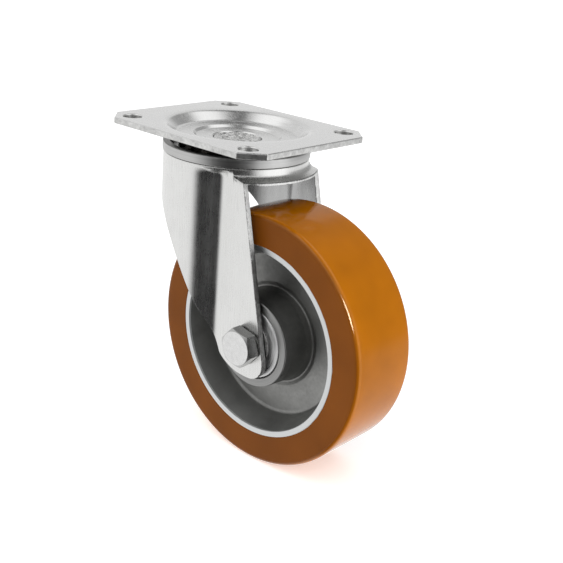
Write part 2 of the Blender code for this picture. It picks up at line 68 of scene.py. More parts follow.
def joint_place(name):
    return next(Vector(joint["pos_m"]) for joint in frame["joints"] if joint["name"] == name)


# Places and sizes read from the frame
AXLE = joint_place("wheel_spin")
PLATE_LOW, PLATE_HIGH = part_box("top_plate")
TYRE_LOW, TYRE_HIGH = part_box("tyre")
CORE_LOW, CORE_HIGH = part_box("wheel_core")
FORK_LOW, FORK_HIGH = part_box("fork")
SEAL_LOW, SEAL_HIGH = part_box("seal_ring")
KING_LOW, KING_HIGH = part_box("kingpin")
WASHER_LOW, WASHER_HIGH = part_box("nut_washer")
BOLT_LOW, BOLT_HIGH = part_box("axle_bolt")
NUT_LOW, NUT_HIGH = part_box("axle_nut")
FLOOR_HEIGHT = CAD_BOX[0][2]

# Wheel
TYRE_RADIUS = (TYRE_HIGH.x - TYRE_LOW.x) / 2
TYRE_HALF_WIDTH = TYRE_HIGH.y
TYRE_EDGE_RADIUS = 2.6 * MM
RIM_RADIUS = (CORE_HIGH.x - CORE_LOW.x) / 2
RIM_HALF_WIDTH = 19.8 * MM
RIM_LIP = 2.7 * MM
WEB_HALF_WIDTH = 5.5 * MM
WEB_OUTER_RADIUS = 41.0 * MM
BOSS_RADIUS = 22.0 * MM
BOSS_HALF_WIDTH = CORE_HIGH.y
BEARING_RADIUS = 17.5 * MM
BEARING_FACE = 21.8 * MM

# Axle
BOLT_RADIUS = 5.0 * MM
BOLT_CLEARANCE = 5.3 * MM
THREAD_START = 26.0 * MM
HEX_ACROSS_FLATS = 17.0 * MM
HEX_TURN = math.radians(18.6)
LEG_SEAT = WASHER_LOW.y

# Top plate
PLATE_LENGTH = PLATE_HIGH.x - PLATE_LOW.x
PLATE_WIDTH = PLATE_HIGH.y - PLATE_LOW.y
PLATE_THICKNESS = 3.0 * MM
PLATE_CORNER = 9.4 * MM
HOLE_SPACING_X = 77.0 * MM
HOLE_SPACING_Y = 66.0 * MM
HOLE_RADIUS = 4.5 * MM
DISH_RADIUS = 36.0 * MM
DISH_DEPTH = 4.7 * MM
KING_FLOOR_RADIUS = 20.0 * MM
KING_FLOOR_DEPTH = 6.0 * MM
KING_HEAD_RADIUS = 11.5 * MM
KING_SEAT = -7.7 * MM
UPPER_PITCH = 26.0 * MM
LOWER_PITCH = 16.5 * MM
SEAL_BORE = 32.3 * MM

# Fork pressing
SKIRT_RADIUS = -FORK_LOW.x
SHEET = 3.0 * MM
LEG_OUTER = 26.1 * MM
CROWN_TOP = FORK_HIGH.z
CROWN_HOLE = 9.3 * MM
SHOULDER = -14.2 * MM
CREASE_ROUND = 2.0 * MM
FLAT_START = 20.5 * MM
LEG_TOP_TRAILING = 30.4 * MM
BEND_END = math.radians(86)
BEND_SKEW = 1.7
PRESS_TOP = -13.0 * MM
PRESS_DEPTH = 4.5 * MM
NECK_SLOPE = math.radians(13)
ARCH_RADIUS = 40.0 * MM
LEADING_EDGE = [Vector((x * MM, z * MM)) for x, z in ((-36, -30), (-18, -31), (4, -66), (21.1, -105))]
FOOT_FRONT = (37.0 * MM, -88.5 * MM, 23.0 * MM)
FOOT_BACK = (40.3 * MM, -102.6 * MM, 8.9 * MM)
EDGE_ROUND = 0.35 * MM


# ---------------------------------------------------------------- mesh helpers

def add_object(name, mesh, matrix=None):
    mesh.shade_smooth()
    obj = bpy.data.objects.new(name, mesh)
    bpy.context.scene.collection.objects.link(obj)
    if matrix:
        obj.matrix_world = matrix
    return obj


def mesh_from(name, verts, faces):
    bm = bmesh.new()
    made = [bm.verts.new(v) for v in verts]
    for face in faces:
        bm.faces.new([made[i] for i in face])
    return mesh_from_bmesh(name, bm)


def mesh_from_bmesh(name, bm):
    bmesh.ops.recalc_face_normals(bm, faces=bm.faces[:])
    mesh = bpy.data.meshes.new(name)
    bm.to_mesh(mesh)
    bm.free()
    return mesh


def rounded(outline, steps=5, closed=True):
    """Replace each corner (a, b, radius) of an outline by a smooth bend of about that radius."""
    result = []
    count = len(outline)
    for i, (a, b, radius) in enumerate(outline):
        here = Vector((a, b))
        if radius == 0 or (not closed and i in (0, count - 1)):
            result.append((a, b))
            continue
        before = Vector(outline[i - 1][:2]) - here
        after = Vector(outline[(i + 1) % count][:2]) - here
        reach = radius / math.tan(before.angle(after) / 2)
        reach = min(reach, 0.49 * before.length, 0.49 * after.length)
        start = here + before.normalized() * reach
        end = here + after.normalized() * reach
        for k in range(steps + 1):
            t = k / steps
            result.append(tuple(start.lerp(here, t).lerp(here.lerp(end, t), t)))
    return result


def lathe_mesh(name, outline, steps, wobble=None):
    """Turn an (r, z) outline about local Z; points on the axis close it.

    wobble(angle, r, z) moves each point.
    """
    verts = []
    rings = []
    for k in range(steps):
        angle = TURN * k / steps
        ring = []
        for i, (r, z) in enumerate(outline):
            if r < 1e-7 and k:
                ring.append(rings[0][i])
                continue
            if wobble:
                r, z = wobble(angle, r, z)
            ring.append(len(verts))
            verts.append((r * math.cos(angle), r * math.sin(angle), z))
        rings.append(ring)
    open_ends = outline[0][0] < 1e-7
    last = len(outline) - 1 if open_ends else len(outline)
    faces = []
    for k in range(steps):
        here, there = rings[k], rings[(k + 1) % steps]
        for i in range(last):
            j = (i + 1) % len(outline)
            quad = [here[i], here[j], there[j], there[i]]
            face = [v for n, v in enumerate(quad) if v not in quad[:n]]
            if len(face) > 2:
                faces.append(face)
    return mesh_from(name, verts, faces)


def prism_mesh(name, outline, low, high):
    """Extrude an (x, y) outline along local Z."""
    count = len(outline)
    verts = [(x, y, z) for z in (low, high) for x, y in outline]
    faces = [list(range(count)), list(range(2 * count - 1, count - 1, -1))]
    faces += [[i, (i + 1) % count, count + (i + 1) % count, count + i] for i in range(count)]
    return mesh_from(name, verts, faces)


def cut(target, tool, operation):
    """Apply a Boolean of tool to target and remove the tool."""
    boolean = target.modifiers.new(tool.name, "BOOLEAN")
    boolean.object = tool
    boolean.operation = operation
    boolean.solver = "EXACT"
    apply_modifiers(target)
    bpy.data.objects.remove(tool, do_unlink=True)


def apply_modifiers(obj):
    bpy.context.view_layer.update()
    evaluated = obj.evaluated_get(bpy.context.evaluated_depsgraph_get())
    mesh = bpy.data.meshes.new_from_object(evaluated)
    obj.modifiers.clear()
    old = obj.data
    obj.data = mesh
    bpy.data.meshes.remove(old)


def bevel(obj, width, segments, angle):
    modifier = obj.modifiers.new("edges", "BEVEL")
    modifier.width = width
    modifier.segments = segments
    modifier.limit_method = "ANGLE"
    modifier.angle_limit = math.radians(angle)
    apply_modifiers(obj)


def crisp(obj, angle=30):
    """Keep flat faces flat beside small rounds."""
    obj.data.shade_smooth()
    obj.data.set_sharp_from_angle(angle=math.radians(angle))
    weighted = obj.modifiers.new("normals", "WEIGHTED_NORMAL")
    weighted.keep_sharp = True


def finish_piece(obj, body, material, slot, *nodes):
    """Give a piece its material, unless it has its own, and its body, and hide the CAD nodes that it stands
    for.
    """
    if material:
        obj.data.materials.clear()
        obj.data.materials.append(material)
    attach(obj, body)
    if nodes:
        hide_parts(*nodes)
    return obj


def about_axle(y=0.0, way=1):
    """Matrix that sets local Z along the axle; way -1 points it to the bolt's side."""
    turn = Matrix.Rotation(-way * math.pi / 2, 4, "X")
    return Matrix.Translation(AXLE + Vector((0, y, 0))) @ turn


# ---------------------------------------------------------------- material helpers

class Surface:
    """A Principled material with its own coordinates, noises and bumps."""

    def __init__(self, name, colour, roughness, metallic, **constants):
        self.material = bpy.data.materials.new(name)
        self.material.use_nodes = True
        self.tree = self.material.node_tree
        self.shader = self.tree.nodes["Principled BSDF"]
        coordinates = self.node("ShaderNodeTexCoord").outputs
        self.place = coordinates["Object"]
        self.facing = coordinates["Normal"]
        self.shader.inputs["Base Color"].default_value = (*colour, 1)
        self.shader.inputs["Roughness"].default_value = roughness
        self.shader.inputs["Metallic"].default_value = metallic
        for socket, value in constants.items():
            self.shader.inputs[socket.replace("_", " ")].default_value = value

    def node(self, kind, **settings):
        made = self.tree.nodes.new(kind)
        for name, value in settings.items():
            setattr(made, name, value)
        return made

    def set(self, socket, value):
        """Join or set a node's input."""
        if isinstance(value, bpy.types.NodeSocket):
            self.tree.links.new(value, socket)
        else:
            socket.default_value = value

    def math(self, operation, a, b=0.0, clamp=False):
        node = self.node("ShaderNodeMath", operation=operation, use_clamp=clamp)
        self.set(node.inputs[0], a)
        self.set(node.inputs[1], b)
        return node.outputs[0]

    def stretched(self, scale, place=None):
        """Coordinates in metres times a scale for each axis."""
        node = self.node("ShaderNodeMapping")
        self.set(node.inputs["Vector"], place or self.place)
        node.inputs["Scale"].default_value = scale
        return node.outputs[0]

    def noise(self, scale, detail=3.0, roughness=0.55, place=None):
        node = self.node("ShaderNodeTexNoise")
        self.set(node.inputs["Vector"], self.stretched(scale, place))
        node.inputs["Scale"].default_value = 1.0
        node.inputs["Detail"].default_value = detail
        node.inputs["Roughness"].default_value = roughness
        return node.outputs["Fac"]

    def remap(self, value, low, high, to_low, to_high):
        node = self.node("ShaderNodeMapRange")
        self.set(node.inputs["Value"], value)
        for name, number in (("From Min", low), ("From Max", high), ("To Min", to_low), ("To Max", to_high)):
            self.set(node.inputs[name], number)
        return node.outputs["Result"]

    def level(self, noise_value, to_low, to_high):
        """Stretch a noise over a range."""
        return self.remap(noise_value, 0.3, 0.7, to_low, to_high)

    def mix(self, factor, a, b):
        """Blend two colours."""
        node = self.node("ShaderNodeMix", data_type="RGBA")
        self.set(node.inputs["Factor"], factor)
        for socket, value in ((node.inputs["A"], a), (node.inputs["B"], b)):
            self.set(socket, (*value, 1) if isinstance(value, tuple) else value)
        return node.outputs["Result"]

    def blend(self, factor, a, b):
        """Blend two numbers."""
        node = self.node("ShaderNodeMix", data_type="FLOAT")
        self.set(node.inputs["Factor"], factor)
        self.set(node.inputs["A"], a)
        self.set(node.inputs["B"], b)
        return node.outputs["Result"]

    def made(self, socket):
        """What a shader's input is linked to."""
        return self.shader.inputs[socket].links[0].from_socket

    def split(self, vector=None):
        node = self.node("ShaderNodeSeparateXYZ")
        self.set(node.inputs[0], vector or self.place)
        return node.outputs

    def bump(self, height, depth, strength=1.0, below=None):
        node = self.node("ShaderNodeBump")
        node.inputs["Strength"].default_value = strength
        node.inputs["Distance"].default_value = depth
        self.set(node.inputs["Height"], height)
        if below:
            self.set(node.inputs["Normal"], below)
        return node.outputs["Normal"]

    def round_place(self):
        """Coordinates (radius, height, angle in turns) about local Z."""
        x, y, z = self.split()
        squares = self.math("ADD", self.math("MULTIPLY", x, x), self.math("MULTIPLY", y, y))
        radius = self.math("POWER", squares, 0.5)
        angle = self.math("DIVIDE", self.math("ARCTAN2", y, x), TURN)
        node = self.node("ShaderNodeCombineXYZ")
        for socket, value in zip(node.inputs, (radius, z, angle)):
            self.set(socket, value)
        return node.outputs[0], radius, z

    def use(self, **sockets):
        for name, value in sockets.items():
            self.set(self.shader.inputs[name.replace("_", " ")], value)
        return self.material


def zinc(name, grain_scale, tone=(0.70, 0.70, 0.69), roughness=0.27, grain_depth=0.012):
    """Bright zinc plating on drawn sheet: fine grain, faint clouds and small pits."""
    surface = Surface(name, tone, roughness, 1.0)
    grain = surface.noise(grain_scale, 4.0, 0.62)
    clouds = surface.noise((90, 90, 90), 3.0, 0.6)
    pits = surface.noise((900, 900, 900), 2.0, 0.5)
    darker_tone = tuple(0.88 * c for c in tone)
    bright = tuple(min(1.0, 1.09 * c) for c in tone)
    worn = surface.blend(0.35, grain, clouds)
    colour = surface.mix(surface.level(worn, 0, 1), darker_tone, bright)
    gloss = surface.math("ADD", surface.level(clouds, roughness - 0.04, roughness + 0.05),
                         surface.level(grain, -0.04, 0.05))
    normal = surface.bump(grain, grain_depth * MM, 0.8)
    normal = surface.bump(pits, 0.008 * MM, 0.5, normal)
    surface.use(Base_Color=colour, Roughness=gloss, Normal=normal)
    return surface


def fork_zinc():
    """Zinc with a vertical grain, and painted shade: the fork's inner faces are painted a darker grey."""
    surface = zinc("zinc_fork", (2600, 2600, 90))
    x, y, z = surface.split()
    across, along, _ = surface.split(surface.facing)
    outward = surface.math("ADD", surface.math("MULTIPLY", x, across), surface.math("MULTIPLY", y, along))
    inside = surface.math("MULTIPLY", surface.math("LESS_THAN", outward, -2 * MM),
                          surface.math("LESS_THAN", z, -18.9 * MM))
    bright = surface.made("Base Color")
    # Painted shade: inner faces below the neck are painted a darker grey, standing in for the shade inside
    # the fork.
    darker_tone = surface.mix(surface.noise((300, 300, 60)), (0.36, 0.36, 0.36), (0.48, 0.48, 0.475))
    return surface.use(Base_Color=surface.mix(inside, bright, darker_tone))


def sheared_zinc(name, dark, bright, roughness, depth):
    """Zinc over a sheared edge: streaks across the sheet and torn spots between a dark and a bright tone; on
    the fork these two tones hold painted highlight and painted shade.
    """
    surface = Surface(name, bright, roughness, 1.0)
    tears = surface.noise((1100, 1100, 700), 4.0, 0.65)
    worn = surface.noise((260, 260, 260), 3.0, 0.6)
    height = surface.blend(0.4, tears, worn)
    # The dark-to-bright mix can carry painted light, as the fork's edge materials use it.
    return surface.use(Base_Color=surface.mix(surface.remap(height, 0.35, 0.65, 0, 1), dark, bright),
                       Roughness=surface.level(tears, roughness - 0.06, roughness + 0.08),
                       Normal=surface.bump(height, depth * MM, 0.8))


def plate_zinc():
    """Zinc with a grain along the plate, streaked and nicked on its sheared edges, with painted shade in the
    hole walls and on faces turned downward.
    """
    surface = zinc("zinc_plate", (110, 1500, 900), (0.68, 0.68, 0.675), 0.24, 0.006)
    facing_up = surface.split(surface.facing)[2]
    up = surface.math("ABSOLUTE", facing_up)
    outer = surface.math("GREATER_THAN", surface.round_place()[1], DISH_RADIUS + 3 * MM)
    edge = surface.math("MULTIPLY", surface.remap(up, 0.25, 0.6, 1, 0), outer)
    tears = surface.blend(0.45, surface.noise((620, 620, 500), 4.0, 0.6),
                          surface.noise((200, 200, 200), 3.0, 0.6))
    # The sheared rim and the hole walls are mottled darker: torn spots, and in the holes also painted shade.
    sheared = surface.mix(surface.remap(tears, 0.38, 0.6, 0, 1), (0.44, 0.44, 0.435), (0.68, 0.68, 0.67))
    colour, gloss, normal = (surface.made(name) for name in ("Base Color", "Roughness", "Normal"))
    torn = surface.math("MULTIPLY", tears, edge)
    # Painted shade: faces turned downward are painted dark grey.
    colour = surface.mix(surface.remap(facing_up, -0.7, -0.3, 1, 0), colour, (0.30, 0.30, 0.295))
    return surface.use(Base_Color=surface.mix(edge, colour, sheared),
                       Roughness=surface.blend(edge, gloss, 0.38),
                       Normal=surface.bump(torn, 0.07 * MM, 0.8, normal))


def hexagon_zinc():
    """Bolt and nut zinc: turned faces in the zinc's own tone; painted shade darkens the sides and the
    chamfer, with a painted highlight on the flat facing +X.
    """
    surface = zinc("zinc_hexagon", (500, 500, 500), (0.66, 0.66, 0.655), 0.22, 0.004)
    across, _, along = surface.split(surface.facing)
    along = surface.math("ABSOLUTE", along)
    bright = surface.made("Base Color")
    # Painted shade on the hexagon's sides, a painted highlight on the flat facing +X, and a painted mid grey
    # on the chamfer.
    rolled = surface.mix(surface.noise((260, 260, 900)), (0.20, 0.20, 0.20), (0.33, 0.33, 0.325))
    side = surface.mix(surface.remap(across, 0.5, 0.9, 0, 1), rolled, (0.70, 0.70, 0.69))
    cone = surface.mix(surface.remap(along, 0.15, 0.5, 0, 1), side, (0.46, 0.46, 0.455))
    return surface.use(Base_Color=surface.mix(surface.remap(along, 0.92, 0.98, 0, 1), cone, bright))


def turned_metal(name, tone, roughness, grain=0.01, lines=5000):
    """Metal with fine circular tool marks about local Z."""
    surface = Surface(name, tone, roughness, 1.0)
    place = surface.round_place()[0]
    marks = surface.noise((lines, lines, 1.5), 3.0, 0.6, place)
    clouds = surface.noise((120, 120, 120), 3.0, 0.6)
    colour = surface.mix(surface.level(marks, 0, 1), tuple(0.86 * c for c in tone),
                         tuple(min(1.0, 1.1 * c) for c in tone))
    gloss = surface.math("ADD", surface.level(clouds, roughness - 0.04, roughness + 0.05),
                         surface.level(marks, -0.04, 0.04))
    normal = surface.bump(marks, grain * MM, 0.7)
    return surface.use(Base_Color=colour, Roughness=gloss, Normal=normal)


def cast_aluminium():
    """Die-cast skin on the web, turned bright on the rim's face and on the boss."""
    surface = Surface("cast_aluminium", (0.3, 0.3, 0.3), 0.5, 1.0)
    place, radius, z = surface.round_place()
    skin = surface.noise((700, 700, 700), 4.0, 0.6)
    clouds = surface.noise((70, 70, 70), 3.0, 0.6)
    marks = surface.noise((4200, 4200, 1.2), 3.0, 0.6, place)
    height = surface.math("ABSOLUTE", z)
    rim = surface.math("MULTIPLY", surface.math("GREATER_THAN", height, RIM_HALF_WIDTH - 0.9 * MM),
                       surface.math("GREATER_THAN", radius, WEB_OUTER_RADIUS))
    boss = surface.math("LESS_THAN", radius, BOSS_RADIUS + 0.25 * MM)
    turned = surface.math("MAXIMUM", rim, boss)
    cast = surface.mix(surface.level(clouds, 0, 1), (0.25, 0.25, 0.243), (0.33, 0.33, 0.32))
    bright = surface.mix(surface.level(marks, 0, 1), (0.24, 0.24, 0.237), (0.35, 0.35, 0.345))
    rim_bright = surface.mix(rim, bright, (0.64, 0.65, 0.65))
    colour = surface.mix(turned, cast, rim_bright)
    gloss = surface.blend(turned, surface.level(skin, 0.42, 0.56), surface.level(marks, 0.34, 0.46))
    height = surface.blend(turned, skin, surface.math("MULTIPLY", marks, 0.35))
    normal = surface.bump(height, 0.035 * MM, 0.6)
    return surface.use(Base_Color=colour, Roughness=gloss, Normal=normal)


def polyurethane():
    """Amber cast polyurethane: a glossy tread and satin side faces, the side faces painted browner and darker
    as painted shade.
    """
    surface = Surface("polyurethane", (0.5, 0.2, 0.02), 0.14, 0.0, IOR=1.5, Specular_IOR_Level=0.22,
                      Specular_Tint=(1.0, 0.8, 0.55, 1), Subsurface_Weight=0.05,
                      Subsurface_Radius=(0.006, 0.0025, 0.0006), Subsurface_Scale=1.0)
    radius, z = surface.round_place()[1:]
    clouds = surface.noise((38, 38, 38), 2.0, 0.5)
    ripple = surface.noise((150, 150, 150), 2.0, 0.5)
    across = surface.math("ABSOLUTE", z)
    side = surface.remap(across, TYRE_HALF_WIDTH - 1.6 * MM, TYRE_HALF_WIDTH - 0.2 * MM, 0, 1)
    tread = surface.mix(surface.level(clouds, 0, 1), (0.39, 0.120, 0.0006), (0.49, 0.152, 0.001))
    # Painted shade: the side faces are painted far browner and darker than the tread.
    face = surface.mix(surface.level(clouds, 0, 1), (0.146, 0.040, 0.002), (0.184, 0.051, 0.003))
    colour = surface.mix(side, tread, face)
    satin = surface.remap(across, TYRE_HALF_WIDTH - 0.4 * MM, TYRE_HALF_WIDTH - 0.05 * MM, 0, 1)
    shiny = surface.remap(across, TYRE_HALF_WIDTH - TYRE_EDGE_RADIUS, TYRE_HALF_WIDTH - 1.8 * MM, 0.16, 0.5)
    surface.use(Specular_IOR_Level=surface.blend(satin, shiny, 0.14))
    gloss = surface.blend(satin, surface.level(clouds, 0.06, 0.11), surface.level(ripple, 0.34, 0.44))
    normal = surface.bump(ripple, 0.05 * MM, 0.35)
    return surface.use(Base_Color=colour, Roughness=gloss, Normal=normal)


def peened_metal():
    """Hammered rivet head, zinc-plated; its colour follows the dents: painted shade in the hollows, painted
    glints on the raised spots.
    """
    surface = Surface("peened_zinc", (0.55, 0.55, 0.54), 0.3, 1.0)
    dents = surface.noise((520, 520, 520), 5.0, 0.7)
    # Painted shade and glints: dark where the dents are low, near white where they stand up.
    colour = surface.mix(surface.remap(dents, 0.36, 0.6, 0, 1), (0.18, 0.18, 0.176), (0.90, 0.90, 0.89))
    normal = surface.bump(dents, 0.55 * MM, 1.0)
    return surface.use(Base_Color=colour, Roughness=surface.level(dents, 0.18, 0.38), Normal=normal)


def nylon():
    surface = Surface("nylon", (0.62, 0.64, 0.66), 0.42, 0.0, Subsurface_Weight=0.1)
    mottle = surface.noise((400, 400, 400), 3.0, 0.6)
    colour = surface.mix(surface.level(mottle, 0, 1), (0.55, 0.57, 0.6), (0.68, 0.7, 0.72))
    return surface.use(Base_Color=colour, Roughness=surface.level(mottle, 0.36, 0.5),
                       Normal=surface.bump(mottle, 0.02 * MM, 0.5))


# ---------------------------------------------------------------- top plate and swivel head

def make_top_plate(material):
    """Chamfered plate with rolled hole edges, sheared rims and a pressed dish."""
    a, b, c = PLATE_LENGTH / 2, PLATE_WIDTH / 2, PLATE_CORNER
    corners = [(a, b - c), (a - c, b), (c - a, b), (-a, b - c)]
    corners += [(-x, -y) for x, y in corners]
    outline = rounded([(x, y, 1.0 * MM) for x, y in corners], 4)
    plate = add_object("mounting_plate", prism_mesh("mounting_plate", outline, -PLATE_THICKNESS, 0))
    bevel(plate, 0.55 * MM, 4, 60)
    floor = -(DISH_DEPTH + PLATE_THICKNESS)
    pitch = UPPER_PITCH
    under = [(0, -1.4 * MM, 0), (34.9 * MM, -1.4 * MM, 0), (35.9 * MM, -2.9 * MM, 2 * MM),
             (31.0 * MM, floor + 0.6 * MM, 1.2 * MM), (pitch + 3.4 * MM, floor, 0.6 * MM),
             (pitch + 2.2 * MM, floor, 0.3 * MM), (pitch, floor + 1.1 * MM, 2 * MM),
             (pitch - 2.2 * MM, floor, 0.3 * MM), (KING_FLOOR_RADIUS + 1.6 * MM, floor, 0.5 * MM),
             (KING_FLOOR_RADIUS, -(KING_FLOOR_DEPTH + PLATE_THICKNESS), 0.8 * MM),
             (0, -(KING_FLOOR_DEPTH + PLATE_THICKNESS), 0)]
    cut(plate, add_object("dish_body", lathe_mesh("dish_body", rounded(under, 5, False), 160)), "UNION")
    hollow = [(0, 2 * MM, 0), (DISH_RADIUS + 2.9 * MM, 2 * MM, 0), (DISH_RADIUS + 2.5 * MM, 0.0, 0),
              (34.7 * MM, -0.30 * MM, 4.2 * MM), (29.2 * MM, -DISH_DEPTH + 0.1 * MM, 3.0 * MM),
              (KING_FLOOR_RADIUS + 1.4 * MM, -DISH_DEPTH, 0.7 * MM),
              (KING_FLOOR_RADIUS - 0.2 * MM, -KING_FLOOR_DEPTH, 0.7 * MM),
              (KING_HEAD_RADIUS + 0.9 * MM, -KING_FLOOR_DEPTH, 0.5 * MM),
              (KING_HEAD_RADIUS + 0.25 * MM, -KING_FLOOR_DEPTH - 0.5 * MM, 0.2 * MM),
              (KING_HEAD_RADIUS + 0.25 * MM, -8.0 * MM, 0), (7.8 * MM, -8.0 * MM, 0), (7.8 * MM, -10 * MM, 0),
              (0, -10 * MM, 0)]
    cavity = add_object("dish_cavity", lathe_mesh("dish_cavity", rounded(hollow, 6, False), 160))
    cut(plate, cavity, "DIFFERENCE")
    drill = [(0, 1 * MM, 0), (HOLE_RADIUS + 1.5 * MM, 1 * MM, 0), (HOLE_RADIUS + 0.95 * MM, 0.0, 0),
             (HOLE_RADIUS + 0.05 * MM, -0.25 * MM, 0.7 * MM),
             (HOLE_RADIUS, -PLATE_THICKNESS + 0.3 * MM, 0.3 * MM),
             (HOLE_RADIUS + 0.35 * MM, -PLATE_THICKNESS - 1 * MM, 0), (0, -PLATE_THICKNESS - 1 * MM, 0)]
    for sx, sy in ((1, 1), (-1, 1), (-1, -1), (1, -1)):
        place = Matrix.Translation((sx * HOLE_SPACING_X / 2, sy * HOLE_SPACING_Y / 2, 0))
        tool = add_object("hole_drill", lathe_mesh("hole_drill", rounded(drill, 5, False), 64), place)
        cut(plate, tool, "DIFFERENCE")
    crisp(plate, 38)
    return finish_piece(plate, "plate", material, "zinc_plate", "top_plate")


def make_kingpin(material, head_material):
    """Rivet; its head is peened into lumps."""
    head = KING_HIGH.z
    foot = KING_LOW.z

    def lumps(angle, r, z):
        if z > head - 0.6 * MM and 0 < r < KING_HEAD_RADIUS - 0.6 * MM:
            spot = Vector((r * math.cos(angle), r * math.sin(angle), 0)) / (2.2 * MM)
            z += 0.55 * MM * (noise.noise(spot) - 0.35)
        return r, z

    face = [(r * KING_HEAD_RADIUS / 40, head - 0.1 * MM) for r in range(37)]
    rim = rounded([(KING_HEAD_RADIUS - 1.1 * MM, head, 0),
                   (KING_HEAD_RADIUS - 0.1 * MM, head - 0.1 * MM, 0.4 * MM),
                   (KING_HEAD_RADIUS, KING_SEAT, 0.2 * MM), (8.0 * MM, KING_SEAT, 0)], 4, False)
    outline = face + rim[1:] + [(0, KING_SEAT)]
    head_piece = add_object("rivet_head", lathe_mesh("rivet_head", outline, 120, lumps))
    finish_piece(head_piece, "plate", head_material, "zinc_plate", "kingpin")
    shank = rounded([(0, -7.75 * MM, 0), (7.5 * MM, -7.75 * MM, 0), (7.5 * MM, foot + 2.4 * MM, 0.4 * MM),
                     (9.5 * MM, foot + 2.4 * MM, 0.3 * MM), (9.3 * MM, foot + 0.6 * MM, 1.2 * MM),
                     (6.5 * MM, foot, 0.8 * MM), (0, foot, 0)], 5, False)
    piece = add_object("rivet_shank", lathe_mesh("rivet_shank", shank, 96))
    finish_piece(piece, "plate", material, "zinc_plate", "kingpin")


def make_seal_ring(material):
    bottom, top, radius = SEAL_LOW.z, SEAL_HIGH.z, SEAL_HIGH.x
    outline = rounded([(SEAL_BORE, bottom, 0.2 * MM), (radius - 0.05 * MM, bottom, 0.35 * MM),
                       (radius, bottom + 2.2 * MM, 0), (radius - 0.05 * MM, top, 0.7 * MM),
                       (SEAL_BORE, top, 0.3 * MM)], 5)
    piece = add_object("dust_ring", lathe_mesh("dust_ring", outline, 200))
    finish_piece(piece, "fork", material, "seal_steel", "seal_ring")


# ---------------------------------------------------------------- fork

class Skin:
    """One face of the fork's sheet."""

    def __init__(self, inset, fillet, fillet_start, top):
        self.skirt = SKIRT_RADIUS - inset
        self.leg = LEG_OUTER - inset
        self.flat_start = FLAT_START + inset / 2
        self.top = top
        self.fillet = fillet
        self.centre = (self.skirt + fillet, fillet_start)
        self.arch = ARCH_RADIUS
        self.turn_in = math.atan2(self.leg, self.flat_start)
        self.corner = math.atan2(self.leg, LEG_TOP_TRAILING)

    def neck(self, r):
        """Height of the flared neck at radius r, below its start."""
        turn = math.pi * 1.5 - NECK_SLOPE
        end = self.centre[0] + self.fillet * math.cos(turn)
        if r >= end:
            return self.centre[1] + self.fillet * math.sin(turn) - (r - end) * math.tan(NECK_SLOPE)
        across = max(-1.0, (r - self.centre[0]) / self.fillet)
        return self.centre[1] - self.fillet * math.sqrt(max(0.0, 1 - across * across))

    def wall(self, angle, z):
        """Radius of the skirt, the S-bend or the flat leg at an angle from +X."""
        if angle >= BEND_END:
            return self.skirt
        leg = self.leg / math.sin(angle)
        if leg >= self.skirt:
            return leg
        across = min(1.0, (BEND_END - angle) / (BEND_END - self.turn_in))
        bend = smooth_step(across ** BEND_SKEW)
        pressed = smooth_step((PRESS_TOP - z) / PRESS_DEPTH)
        return self.skirt + (leg - self.skirt) * bend * pressed

    def fold(self, angle):
        """(radius, height) at which the flare ends: at the arch's edge, or in the crease above the leg."""
        if angle < self.corner:
            corner = self.leg / math.sin(self.corner)
            r = self.arch + (corner - self.arch) * smooth_step((angle / self.corner - 0.80) / 0.20)
            return r, self.neck(r)
        leg = self.leg / math.sin(angle) if angle < BEND_END else 0.0
        if leg > self.skirt:
            return leg, self.neck(leg)
        start = math.asin(self.leg / self.skirt)
        z = self.centre[1] - 3.9 * MM * smooth_step((angle - start) / (BEND_END - start))
        return None, z


def smooth_step(value):
    t = min(1.0, max(0.0, value))
    return t * t * (3 - 2 * t)


def bezier(points, t):
    s = 1 - t
    weights = (s ** 3, 3 * s * s * t, 3 * s * t * t, t ** 3)
    return sum((w * p for w, p in zip(weights, points)), Vector((0, 0)))


def leading_height(x):
    """Height of the sheet's leading edge at x, or of the foot's arc where that runs on."""
    if x > LEADING_EDGE[-1].x:
        centre_x, centre_z, radius = FOOT_FRONT
        return centre_z - math.sqrt(radius ** 2 - (x - centre_x) ** 2)
    low, high = 0.0, 1.0
    for _ in range(30):
        middle = (low + high) / 2
        if bezier(LEADING_EDGE, middle).x < x:
            low = middle
        else:
            high = middle
    return bezier(LEADING_EDGE, low).y


def arc_points(centre, start, end, count):
    x, z, radius = centre
    angles = [math.radians(start + (end - start) * i / count) for i in range(count + 1)]
    return [Vector((x + radius * math.cos(a), z + radius * math.sin(a))) for a in angles]


def spaced(points, count):
    """count + 1 points at equal steps along a line of points."""
    lengths = [0.0]
    for p, q in zip(points, points[1:]):
        lengths.append(lengths[-1] + (q - p).length)
    result = []
    k = 0
    for i in range(count + 1):
        target = lengths[-1] * i / count
        while k < len(points) - 2 and lengths[k + 1] < target:
            k += 1
        share = (target - lengths[k]) / max(1e-12, lengths[k + 1] - lengths[k])
        result.append(points[k].lerp(points[k + 1], min(1.0, share)))
    return result


ARCH_COLUMNS = 24
LEG_COLUMNS = 28
BEND_COLUMNS = 26
NOSE_COLUMNS = 40
FLARE_ROWS = 12
WALL_ROWS = 64


